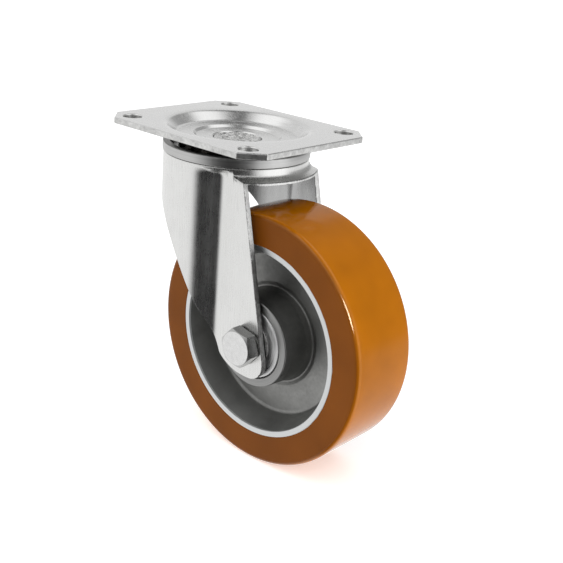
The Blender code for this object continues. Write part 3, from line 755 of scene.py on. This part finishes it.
def leg_patch(skin):
    """Points (x, z) of the leg: columns from the trailing edge forward, rows from the crease to the foot."""
    angles = [skin.corner + (skin.turn_in - skin.corner) * i / LEG_COLUMNS for i in range(LEG_COLUMNS + 1)]
    top = []
    for angle in angles:
        r, z = skin.fold(angle)
        top.append(Vector((skin.leg / math.tan(angle), z)))
    start = top[0]
    back = spaced([start] + arc_points(FOOT_BACK, 13, -35, 12), WALL_ROWS)
    front_end = Vector((skin.flat_start, leading_height(skin.flat_start)))
    front = spaced([top[-1], front_end], WALL_ROWS)
    foot = arc_points(FOOT_FRONT, 226.5, 270, 16) + arc_points(FOOT_BACK, 270, 325, 14)
    run = [front_end] + [p for p in foot if p.x > skin.flat_start]
    bottom = spaced(run[::-1], LEG_COLUMNS)
    columns = []
    for i in range(LEG_COLUMNS + 1):
        u = i / LEG_COLUMNS
        column = []
        for j in range(WALL_ROWS + 1):
            v = j / WALL_ROWS
            sides = back[j].lerp(front[j], u)
            ends = top[i].lerp(bottom[i], v)
            corners = back[0].lerp(front[0], u).lerp(back[-1].lerp(front[-1], u), v)
            column.append(sides + ends - corners)
        columns.append(column)
    return angles, columns


def skin_columns(skin):
    """Columns of points for the +Y half of one skin, from the arch's middle round to the nose."""
    columns = []
    leg_angles, patch = leg_patch(skin)
    angles = [skin.corner * i / ARCH_COLUMNS for i in range(ARCH_COLUMNS)] + leg_angles
    bend = BEND_END - skin.turn_in
    angles += [skin.turn_in + bend * i / BEND_COLUMNS for i in range(1, BEND_COLUMNS + 1)]
    angles += [BEND_END + (math.pi - BEND_END) * i / NOSE_COLUMNS for i in range(1, NOSE_COLUMNS + 1)]
    for index, angle in enumerate(angles):
        column = [Vector((r * math.cos(angle), r * math.sin(angle), z)) for r, z in skin.top]
        start_r, start_z = skin.top[-1]
        fold_r, fold_z = skin.fold(angle)
        for k in range(1, FLARE_ROWS + 1):
            t = k / FLARE_ROWS
            if fold_r is None:
                z = start_z + (fold_z - start_z) * t
                r = skin.wall(angle, z)
            else:
                r, z = flare_point(skin, start_r, start_z, fold_r, t)
            column.append(Vector((r * math.cos(angle), r * math.sin(angle), z)))
        if index >= ARCH_COLUMNS:
            if index <= ARCH_COLUMNS + LEG_COLUMNS:
                path = patch[index - ARCH_COLUMNS][1:]
                spots = [(math.atan2(skin.leg, p.x), p.y) for p in path]
            else:
                x = skin.wall(angle, -1.0) * math.cos(angle)
                end = leading_height(x)
                spots = [(angle, fold_z + (end - fold_z) * j / WALL_ROWS) for j in range(1, WALL_ROWS + 1)]
            for a, z in spots:
                r = skin.wall(a, z)
                column.append(Vector((r * math.cos(a), r * math.sin(a), z)))
        if ARCH_COLUMNS <= index <= ARCH_COLUMNS + LEG_COLUMNS:
            round_crease(column, len(skin.top) + FLARE_ROWS - 1)
        columns.append(column)
    return columns


def round_crease(column, fold):
    """Bend the points near a column's fold onto a smooth curve."""
    along = [0.0]
    for p, q in zip(column, column[1:]):
        along.append(along[-1] + (q - p).length)

    def at(distance):
        k = next(i for i, d in enumerate(along) if d >= distance)
        share = (distance - along[k - 1]) / (along[k] - along[k - 1])
        return column[k - 1].lerp(column[k], share)

    middle = column[fold].copy()
    before, after = at(along[fold] - CREASE_ROUND), at(along[fold] + CREASE_ROUND)
    for i, distance in enumerate(along):
        t = 0.5 + (distance - along[fold]) / (2 * CREASE_ROUND)
        if 0 < t < 1:
            column[i] = before.lerp(middle, t).lerp(middle.lerp(after, t), t)


def flare_point(skin, start_r, start_z, end_r, t):
    """A point along the neck's fillet and slope, evenly spaced."""
    centre_r, centre_z = skin.centre
    turn = math.pi * 1.5 - NECK_SLOPE
    fillet_r = centre_r + skin.fillet * math.cos(turn)
    last = turn if end_r > fillet_r else math.acos(max(-1.0, (end_r - centre_r) / skin.fillet))
    if end_r <= fillet_r:
        last = TURN - last
    drop = max(0.0, start_z - centre_z)
    bend = skin.fillet * (last - math.pi)
    slope = max(0.0, end_r - fillet_r) / math.cos(NECK_SLOPE)
    along = t * (drop + bend + slope)
    if along < drop:
        return start_r, start_z - along
    if along < drop + bend:
        angle = math.pi + (along - drop) / skin.fillet
        return centre_r + skin.fillet * math.cos(angle), centre_z + skin.fillet * math.sin(angle)
    rest = (along - drop - bend)
    r = fillet_r + rest * math.cos(NECK_SLOPE)
    return r, skin.neck(r)


def fork_skins():
    """Outer and inner skin, with as many points on the inner top as on the outer one."""
    under = CROWN_TOP - SHEET
    upper, lower = UPPER_PITCH, LOWER_PITCH
    outer = [(CROWN_HOLE, CROWN_TOP, 0), (upper - 2.2 * MM, CROWN_TOP, 0.4 * MM),
             (upper, CROWN_TOP - 1.1 * MM, 2 * MM),
             (upper + 2.2 * MM, CROWN_TOP, 0.4 * MM), (30.6 * MM, CROWN_TOP, 0.6 * MM),
             (31.8 * MM, CROWN_TOP - 1.2 * MM, 0.5 * MM), (31.8 * MM, SEAL_LOW.z - 0.3 * MM, 0.2 * MM),
             (SKIRT_RADIUS, SEAL_LOW.z - 0.25 * MM, 1.0 * MM), (SKIRT_RADIUS, SHOULDER, 0)]
    inner = [(CROWN_HOLE, under, 0), (lower - 2.2 * MM, under, 0.4 * MM), (lower, under + 1.1 * MM, 2 * MM),
             (lower + 2.2 * MM, under, 0.4 * MM), (SKIRT_RADIUS - SHEET, under, 1.6 * MM),
             (SKIRT_RADIUS - SHEET, under - 1.7 * MM, 0)]
    outer_points = rounded(outer, 4, False)
    inner_points = rounded(inner, 4, False)
    missing = len(outer_points) - len(inner_points)
    inner_points[1:1] = [(CROWN_HOLE + 4.0 * MM * k / 9, under) for k in range(1, missing + 1)]
    return Skin(0.0, 2.3 * MM, -15.5 * MM, outer_points), Skin(SHEET, 3.8 * MM, -15.0 * MM, inner_points)


def fork_rings(skin):
    """Columns all the way round: the -Y half from the nose to the arch, then the +Y half back to the nose."""
    half = skin_columns(skin)
    other = [[Vector((p.x, -p.y, p.z)) for p in column] for column in half]
    return other[:0:-1] + half[:-1]


def edge_points(outer, inner, outer_in, inner_in):
    """Points of a rounded sheet edge between its corners; outer_in and inner_in lead away from the edge."""
    across = (inner - outer).normalized()
    away = (outer_in.normalized(), inner_in.normalized())
    e = EDGE_ROUND
    return [outer + e * away[0], outer + 0.3 * e * (away[0] + across), outer + e * across,
            inner - e * across, inner + 0.3 * e * (away[1] - across), inner + e * away[1]]


def fork_mesh():
    outer_skin, inner_skin = fork_skins()
    outer, inner = fork_rings(outer_skin), fork_rings(inner_skin)
    count = len(outer)
    fold = len(outer_skin.top) + FLARE_ROWS - 1
    trailing = [i for i in range(count) if len(outer[i]) > fold + 1
                and (len(outer[i - 1]) == fold + 1 or len(outer[(i + 1) % count]) == fold + 1)]
    rims = {}
    for i in range(count):
        last = len(outer[i]) - 1
        rims[(i, last)] = [column[last - 1] - column[last] for column in (outer[i], inner[i])]
        if i in trailing:
            inside = i - 1 if len(outer[(i + 1) % count]) == fold + 1 else i + 1
            for row in range(fold, last + 1):
                ways = [skin[inside % count][row] - skin[i][row] for skin in (outer, inner)]
                if row in (fold, last):
                    up = [skin[i][row - 1] - skin[i][row] for skin in (outer, inner)]
                    ways = [a.normalized() + b.normalized() for a, b in zip(ways, up)]
                rims[(i, row)] = ways
    strips = {(i, row): edge_points(outer[i][row], inner[i][row], *ways) for (i, row), ways in rims.items()}
    bm = bmesh.new()
    strip_verts = {key: [bm.verts.new(p) for p in points] for key, points in strips.items()}
    grids = []
    for columns, rim in ((outer, 0), (inner, -1)):
        grids.append([[strip_verts[(i, j)][rim] if (i, j) in strip_verts else bm.verts.new(p)
                       for j, p in enumerate(column)] for i, column in enumerate(columns)])
    for grid in grids:
        for here, there in zip(grid, grid[1:] + grid[:1]):
            for row in range(min(len(here), len(there)) - 1):
                bm.faces.new((here[row], here[row + 1], there[row + 1], there[row]))
    for i in range(count):
        n = (i + 1) % count
        bm.faces.new((grids[0][i][0], grids[0][n][0], grids[1][n][0], grids[1][i][0]))
        row = min(len(outer[i]), len(outer[n])) - 1
        join_strips(bm, strip_verts[(i, row)], strip_verts[(n, row)])
    for i in trailing:
        for row in range(fold, len(outer[i]) - 1):
            join_strips(bm, strip_verts[(i, row)], strip_verts[(i, row + 1)])
    return mesh_from_bmesh("fork_pressing", bm)


def join_strips(bm, here, there):
    """Faces across the sheet's edge: the sheared middle and, in the other material, its two corners."""
    middle = len(here) // 2 - 1
    for k in range(len(here) - 1):
        face = bm.faces.new((here[k], here[k + 1], there[k + 1], there[k]))
        face.material_index = 1 if k == middle else 2


def make_fork(*materials):
    fork = add_object("fork_pressing", fork_mesh())
    for material in materials:
        fork.data.materials.append(material)
    end = 40 * MM
    bore = [(0, end), (BOLT_CLEARANCE, end), (BOLT_CLEARANCE, -end), (0, -end)]
    cut(fork, add_object("axle_bore", lathe_mesh("axle_bore", bore, 64), about_axle()), "DIFFERENCE")
    crisp(fork, 40)
    finish_piece(fork, "fork", None, "zinc_plate", "fork")


# ---------------------------------------------------------------- axle

def hexagon_body(name, height, matrix):
    """Hexagon with a turned face: the corners are cut back by a cone."""
    corner = HEX_ACROSS_FLATS / 2 / math.cos(math.pi / 6)
    angles = [HEX_TURN + TURN * (i + 0.5) / 6 for i in range(6)]
    outline = rounded([(corner * math.cos(a), corner * math.sin(a), 0.5 * MM) for a in angles], 4)
    body = add_object(name, prism_mesh(name, outline, 0.45 * MM, height), matrix)
    across = HEX_ACROSS_FLATS / 2
    cone = rounded([(0, -1 * MM, 0), (across + 3 * MM, -1 * MM, 0), (across + 3 * MM, height - 1.75 * MM, 0),
                    (across - 0.35 * MM, height, 0.45 * MM), (0, height, 0)], 5, False)
    cut(body, add_object("turning", lathe_mesh("turning", cone, 128), matrix), "INTERSECT")
    flange = [(0, 0), (across - 0.4 * MM, 0), (across - 0.4 * MM, 0.8 * MM), (0, 0.8 * MM)]
    cut(body, add_object("washer_face", lathe_mesh("washer_face", flange, 96), matrix), "UNION")
    return body


def thread_mesh(name, low, high, pitch, depth):
    """A rolled thread on the bolt's end, with a chamfered tip at the high end."""
    steps, rows = 72, 64
    verts, faces = [], []
    for j in range(rows + 1):
        z = low + (high - low) * j / rows
        for k in range(steps):
            phase = (z / pitch - k / steps) % 1.0
            r = BOLT_RADIUS - 0.03 * MM - depth * (1 - abs(2 * phase - 1)) ** 0.8
            r = min(r, BOLT_RADIUS - 1.0 * MM + (high - z))
            angle = TURN * k / steps
            verts.append((r * math.cos(angle), r * math.sin(angle), z))
    for j in range(rows):
        for k in range(steps):
            n = (k + 1) % steps
            faces.append((j * steps + k, j * steps + n, (j + 1) * steps + n, (j + 1) * steps + k))
    faces.append(tuple(range(steps - 1, -1, -1)))
    faces.append(tuple(rows * steps + k for k in range(steps)))
    return mesh_from(name, verts, faces)


def make_bolt(material):
    seat = -LEG_SEAT
    height = seat - BOLT_LOW.y
    head = hexagon_body("bolt_head", height, about_axle(seat, -1))
    crisp(head, 35)
    finish_piece(head, "fork", material, "zinc_plate", "axle_bolt")
    end = BOLT_HIGH.y
    outline = [(0, seat), (BOLT_RADIUS, seat), (BOLT_RADIUS, THREAD_START), (0, THREAD_START)]
    shank = lathe_mesh("bolt_shank", outline, 64)
    finish_piece(add_object("bolt_shank", shank, about_axle()), "fork", material, "zinc_plate", "axle_bolt")
    rolled = thread_mesh("bolt_thread", THREAD_START + 0.05 * MM, end, 1.5 * MM, 0.75 * MM)
    thread = add_object("bolt_thread", rolled, about_axle())
    crisp(thread, 50)
    finish_piece(thread, "fork", material, "zinc_plate", "axle_bolt")


def make_nut(material, ring_material):
    base = NUT_LOW.y
    height = NUT_HIGH.y - base
    collar = 2.6 * MM
    nut = hexagon_body("lock_nut", height - collar, about_axle(base))
    tube = rounded([(5.6 * MM, 1 * MM, 0), (7.4 * MM, 1 * MM, 0), (7.4 * MM, height, 0.9 * MM),
                    (6.3 * MM, height, 0.3 * MM), (6.3 * MM, height - 1.6 * MM, 0),
                    (5.6 * MM, height - 1.6 * MM, 0)], 5)
    cut(nut, add_object("collar", lathe_mesh("collar", tube, 96), about_axle(base)), "UNION")
    bore = [(0, -1 * MM), (5.1 * MM, -1 * MM), (5.1 * MM, height + 1 * MM), (0, height + 1 * MM)]
    cut(nut, add_object("nut_bore", lathe_mesh("nut_bore", bore, 96), about_axle(base)), "DIFFERENCE")
    crisp(nut, 35)
    finish_piece(nut, "fork", material, "zinc_plate", "axle_nut")
    ring = rounded([(5.05 * MM, height - 1.5 * MM, 0), (6.2 * MM, height - 1.5 * MM, 0),
                    (6.2 * MM, height - 0.3 * MM, 0.2 * MM), (5.2 * MM, height - 0.5 * MM, 0.3 * MM)], 4)
    piece = add_object("nut_lock_ring", lathe_mesh("nut_lock_ring", ring, 96), about_axle(base))
    finish_piece(piece, "fork", ring_material, "zinc_plate", "axle_nut")


def axle_ring(name, outline, body, material, slot, node, way=1, steps=120):
    piece = add_object(name, lathe_mesh(name, rounded(outline, 4), steps), about_axle(0, way))
    return finish_piece(piece, body, material, slot, node)


def make_washers(material):
    low, high = WASHER_LOW.y, WASHER_HIGH.y
    radius = (WASHER_HIGH.x - WASHER_LOW.x) / 2
    outline = [(BOLT_CLEARANCE, low, 0.1 * MM), (radius, low, 0.2 * MM), (radius, high, 0.45 * MM),
               (BOLT_CLEARANCE, high, 0.2 * MM)]
    axle_ring("plain_washer", outline, "fork", material, "zinc_plate", "nut_washer")
    for way, side in ((-1, "bolt_side"), (1, "nut_side")):
        low, high = sorted(abs(corner.y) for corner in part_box(side + "_shim"))
        outline = [(7.8 * MM, low, 0.05 * MM), (11.5 * MM, low, 0.1 * MM), (11.5 * MM, high, 0.15 * MM),
                   (7.8 * MM, high, 0.05 * MM)]
        axle_ring(side + "_thrust_ring", outline, "fork", material, "zinc_plate", side + "_shim", way)


# ---------------------------------------------------------------- wheel

def make_bearings(ring_material, shield_material):
    half = 5.45 * MM
    centre = BEARING_FACE - half
    race, shoulder = 14.9 * MM, 10.1 * MM
    for way, side in ((-1, "bolt_side"), (1, "nut_side")):
        low, high = centre - half, centre + half
        outer = [(race, low, 0.2 * MM), (BEARING_RADIUS, low, 0.6 * MM), (BEARING_RADIUS, high, 0.8 * MM),
                 (race, high, 0.15 * MM), (race, centre + 2.2 * MM, 0), (15.5 * MM, centre, 1.5 * MM),
                 (race, centre - 2.2 * MM, 0)]
        axle_ring(side + "_outer_race", outer, "wheel", ring_material, "bearing_steel", side + "_outer_ring",
                  way, 160)
        inner = [(7.8 * MM, low, 0.3 * MM), (shoulder, low, 0.15 * MM), (shoulder, centre - 2.2 * MM, 0),
                 (9.5 * MM, centre, 1.5 * MM), (shoulder, centre + 2.2 * MM, 0), (shoulder, high, 0.15 * MM),
                 (7.8 * MM, high, 0.3 * MM)]
        axle_ring(side + "_inner_race", inner, "fork", ring_material, "bearing_steel", side + "_inner_ring",
                  way, 120)
        for label, sign in (("outer", 1), ("inner", -1)):
            flat = centre + sign * 5.0 * MM
            step = centre + sign * 4.65 * MM
            back = centre + sign * 4.4 * MM
            shield = [(10.4 * MM, step, 0.05 * MM), (12.3 * MM, step, 0.2 * MM), (12.9 * MM, flat, 0.2 * MM),
                      (14.6 * MM, flat, 0.1 * MM), (14.6 * MM, flat - sign * 0.3 * MM, 0),
                      (13.1 * MM, flat - sign * 0.3 * MM, 0.2 * MM), (12.5 * MM, back, 0.2 * MM),
                      (10.4 * MM, back, 0)]
            axle_ring("%s_%s_cover" % (side, label), shield, "wheel", shield_material, "shield_steel",
                      "%s_%s_shield" % (side, label), way)


def make_core(material):
    """Cast core with a filleted web, a sloping rim and turned boss faces."""
    bore = BEARING_RADIUS + 0.3 * MM
    seat = BEARING_FACE - 10.9 * MM - 0.3 * MM
    lip = RIM_RADIUS - RIM_LIP
    web, face, rim = WEB_HALF_WIDTH, BOSS_HALF_WIDTH, RIM_HALF_WIDTH
    half = [(15.0 * MM, seat, 0.3 * MM), (bore, seat, 0.2 * MM), (bore, face, 0.55 * MM),
            (BOSS_RADIUS, face, 0.8 * MM), (BOSS_RADIUS + 0.8 * MM, web + 2.5 * MM, 2.5 * MM),
            (BOSS_RADIUS + 1.7 * MM, web - 1.3 * MM, 1.1 * MM),
            (BOSS_RADIUS + 4.4 * MM, web, 2.4 * MM),
            (WEB_OUTER_RADIUS - 0.6 * MM, web, 2.2 * MM), (lip, rim, 0.35 * MM), (RIM_RADIUS, rim, 0.3 * MM)]
    outline = rounded(half + [(r, -y, radius) for r, y, radius in reversed(half)], 6)
    piece = add_object("cast_core", lathe_mesh("cast_core", outline, 180), about_axle())
    finish_piece(piece, "wheel", material, "cast_aluminium", "wheel_core")


def make_tyre(material):
    """Cast tyre; where it meets the rim its trimmed edge wanders a little."""
    edge = TYRE_EDGE_RADIUS
    bead = RIM_RADIUS + 0.05 * MM
    arc = [(TYRE_RADIUS - edge + edge * math.sin(a), TYRE_HALF_WIDTH - edge + edge * math.cos(a))
           for a in (math.pi / 2 * k / 10 for k in range(11))]
    side = [(bead + (TYRE_RADIUS - edge - bead) * t, TYRE_HALF_WIDTH - 0.05 * MM * (1 - t))
            for t in (0, 0.02, 0.05, 0.1, 0.4, 0.7)]
    tread = [(TYRE_RADIUS, (TYRE_HALF_WIDTH - edge) * t) for t in (0.8, 0.6, 0.4, 0.2)]
    upper = side + arc + tread
    outline = upper + [(TYRE_RADIUS, 0.0)] + [(r, -y) for r, y in reversed(upper)]

    def flash(angle, r, z):
        if r < bead + 0.3 * MM:
            spot = Vector((math.cos(angle), math.sin(angle), 0)) * 9
            r += 0.22 * MM * max(0.0, noise.noise(spot) + 0.1)
        return r, z

    piece = add_object("cast_tyre", lathe_mesh("cast_tyre", outline, 256, flash), about_axle())
    piece.visible_glossy = False
    return finish_piece(piece, "wheel", material, "polyurethane", "tyre")


def make_hidden(material):
    """Balls, cages, spacer, tube and race cup keep their CAD shapes."""
    for name in ("upper_ball_set", "lower_ball_set", "bolt_side_ball_set", "nut_side_ball_set", "axle_tube",
                 "bearing_spacer", "lower_race_cup"):
        for slot in frame["nodes"][name].material_slots:
            slot.link = "OBJECT"
            slot.material = material


# ---------------------------------------------------------------- studio

CAMERA_YAW = math.radians(40.39)
CAMERA_PITCH = math.radians(20.79)
CAMERA_ROLL = math.radians(-4.53)
CAMERA_DISTANCE = 478.4 * MM
CAMERA_RIGHT = 26.6 * MM
CAMERA_UP = -15.1 * MM
CAMERA_TARGET = Vector((0, 0, -TYRE_RADIUS))
LENS = 60.91


def camera_place():
    yaw, pitch, roll = CAMERA_YAW, CAMERA_PITCH, CAMERA_ROLL
    back = Vector((math.sin(yaw) * math.cos(pitch), -math.cos(yaw) * math.cos(pitch), math.sin(pitch)))
    right = Vector((math.cos(yaw), math.sin(yaw), 0))
    up = back.cross(right)
    place = CAMERA_TARGET + back * CAMERA_DISTANCE + right * CAMERA_RIGHT + up * CAMERA_UP
    turned_right = math.cos(roll) * right - math.sin(roll) * up
    turned_up = math.sin(roll) * right + math.cos(roll) * up
    return place, turned_right, turned_up, back


def make_camera():
    place, right, up, back = camera_place()
    data = bpy.data.cameras.new("camera")
    data.lens = LENS
    data.clip_start = 0.01
    camera = bpy.data.objects.new("camera", data)
    turn = Matrix((right, up, back)).transposed().to_4x4()
    camera.matrix_world = Matrix.Translation(place) @ turn
    bpy.context.scene.collection.objects.link(camera)
    bpy.context.scene.camera = camera


def make_floor():
    """A wide pale floor with a hardly visible mottle."""
    size = 9.0
    steps = 12
    row = steps + 1
    verts = [(size * (2 * i / steps - 1), size * (2 * j / steps - 1), FLOOR_HEIGHT - 0.1 * MM)
             for j in range(row) for i in range(row)]
    corners = [j * row + i for j in range(steps) for i in range(steps)]
    faces = [(k, k + 1, k + 1 + row, k + row) for k in corners]
    floor = add_object("studio_floor", mesh_from("studio_floor", verts, faces))
    surface = Surface("studio_floor", (0.93, 0.93, 0.93), 0.9, 0.0, Specular_IOR_Level=0.0,
                      Emission_Color=(1, 1, 1, 1), Emission_Strength=0.45)
    mottle = surface.noise((6, 6, 6), 2.0, 0.5)
    floor.data.materials.append(surface.use(
        Base_Color=surface.mix(mottle, (0.92, 0.92, 0.92), (0.95, 0.95, 0.95))))
    floor.visible_glossy = False


def area_light(name, place, aim, width, height, power, glossy=True):
    data = bpy.data.lights.new(name, "AREA")
    data.shape = "RECTANGLE"
    data.size = width
    data.size_y = height
    data.energy = power
    light = bpy.data.objects.new(name, data)
    light.location = place
    light.rotation_euler = (Vector(place) - Vector(aim)).to_track_quat("Z", "Y").to_euler()
    light.visible_glossy = glossy
    bpy.context.scene.collection.objects.link(light)
    return light


def light_edge(tyre):
    """A box behind the camera that draws one highlight on the tyre's near edge, and lights nothing else."""
    box = area_light("edge_box", (0.62, -0.55, 0.20), (0.09, -0.02, -0.065), 0.26, 0.30, 8.0)
    box.visible_diffuse = False
    lit = bpy.data.collections.new("edge_box_receivers")
    lit.objects.link(tyre)
    box.light_linking.receiver_collection = lit


def make_world():
    """A pale tent: a dark opening at the camera, a bright box to its right, a dim back, two boxes above."""
    world = bpy.data.worlds.new("studio")
    bpy.context.scene.world = world
    world.use_nodes = True
    tree = world.node_tree
    background = tree.nodes["Background"]
    place = tree.nodes.new("ShaderNodeTexCoord").outputs["Generated"]

    def node(kind, *values, **settings):
        made = tree.nodes.new(kind)
        for name, value in settings.items():
            setattr(made, name, value)
        for socket, value in zip(made.inputs, values):
            if isinstance(value, bpy.types.NodeSocket):
                tree.links.new(value, socket)
            else:
                socket.default_value = value
        return made

    def along(direction):
        return node("ShaderNodeVectorMath", place, direction, operation="DOT_PRODUCT").outputs["Value"]

    def rise(value, low, high):
        """0 below low, 1 above high; the other way round if low is the greater."""
        ends = (low, high, 0.0, 1.0) if low < high else (high, low, 1.0, 0.0)
        return node("ShaderNodeMapRange", value, *ends, interpolation_type="SMOOTHSTEP").outputs["Result"]

    def product(*values):
        result = values[0]
        for value in values[1:]:
            result = node("ShaderNodeMath", result, value, operation="MULTIPLY").outputs[0]
        return result

    def toned(below, value, mask):
        made = node("ShaderNodeMix", mask, data_type="FLOAT")
        tree.links.new(below, made.inputs["A"])
        made.inputs["B"].default_value = value
        return made.outputs["Result"]

    toward = along(Vector((math.sin(CAMERA_YAW), -math.cos(CAMERA_YAW), 0)))
    aside = along(Vector((math.cos(CAMERA_YAW), math.sin(CAMERA_YAW), 0)))
    up = along(Vector((0, 0, 1)))
    turn = node("ShaderNodeMath", aside, toward, operation="ARCTAN2").outputs[0]
    offset = node("ShaderNodeMath", aside, operation="ABSOLUTE").outputs[0]
    degree = math.radians(1)
    smooth = {"interpolation_type": "SMOOTHSTEP"}
    tone = node("ShaderNodeMapRange", up, -0.1, 0.3, 1.08, 0.86, **smooth).outputs["Result"]
    dim_back = product(rise(turn, 84 * degree, 98 * degree), rise(turn, 170 * degree, 158 * degree),
                       rise(up, -0.25, -0.05), rise(up, 0.85, 0.7))
    tone = toned(tone, 0.40, dim_back)
    right_box = product(rise(turn, 42 * degree, 52 * degree), rise(turn, 98 * degree, 84 * degree),
                        rise(up, -0.8, -0.65), rise(up, 0.45, 0.3))
    tone = toned(tone, 1.45, right_box)
    tone = toned(tone, 1.35, product(rise(up, 0.70, 0.80), rise(offset, 0.18, 0.28)))
    tone = toned(tone, 0.16, product(rise(up, 0.60, 0.80), rise(offset, 0.20, 0.08)))
    opening = product(rise(turn, -62 * degree, -26 * degree), rise(turn, 38 * degree, 28 * degree),
                      rise(up, 0.42, 0.12))
    tone = toned(tone, 0.04, opening)
    tree.links.new(tone, background.inputs["Strength"])
    background.inputs["Color"].default_value = (1.0, 1.0, 1.0, 1)


def make_studio():
    make_camera()
    make_floor()
    make_world()
    area_light("top_box", (0.35, -0.5, 0.55), (0.03, 0, -0.08), 0.6, 0.6, 2.0, False)
    bpy.context.scene.view_settings.view_transform = "Standard"


def main():
    make_studio()
    plate_material = plate_zinc()
    make_top_plate(plate_material)
    make_kingpin(plate_material, peened_metal())
    make_seal_ring(turned_metal("seal_steel", (0.50, 0.50, 0.495), 0.36))
    # Fork edge: its middle is painted lighter than the sheet, a painted highlight; its corners are painted
    # near black with bright flecks, painted shade and painted glints.
    make_fork(fork_zinc(), sheared_zinc("zinc_sheared_and_highlight", (0.50, 0.50, 0.495), (0.86, 0.86, 0.85), 0.42, 0.03),
              sheared_zinc("zinc_corner_shade_and_glints", (0.08, 0.08, 0.08), (0.66, 0.66, 0.65), 0.24, 0.01))
    bolt_zinc = hexagon_zinc()
    make_bolt(bolt_zinc)
    make_nut(bolt_zinc, nylon())
    make_washers(bolt_zinc)
    steel = turned_metal("bearing_steel", (0.72, 0.72, 0.72), 0.46)
    make_bearings(steel, turned_metal("shield_steel", (0.74, 0.74, 0.74), 0.5))
    make_core(cast_aluminium())
    light_edge(make_tyre(polyurethane()))
    # The hidden parts are near-black steel, so the gaps where they show read black.
    make_hidden(turned_metal("near_black_steel", (0.06, 0.055, 0.05), 0.4))


main()
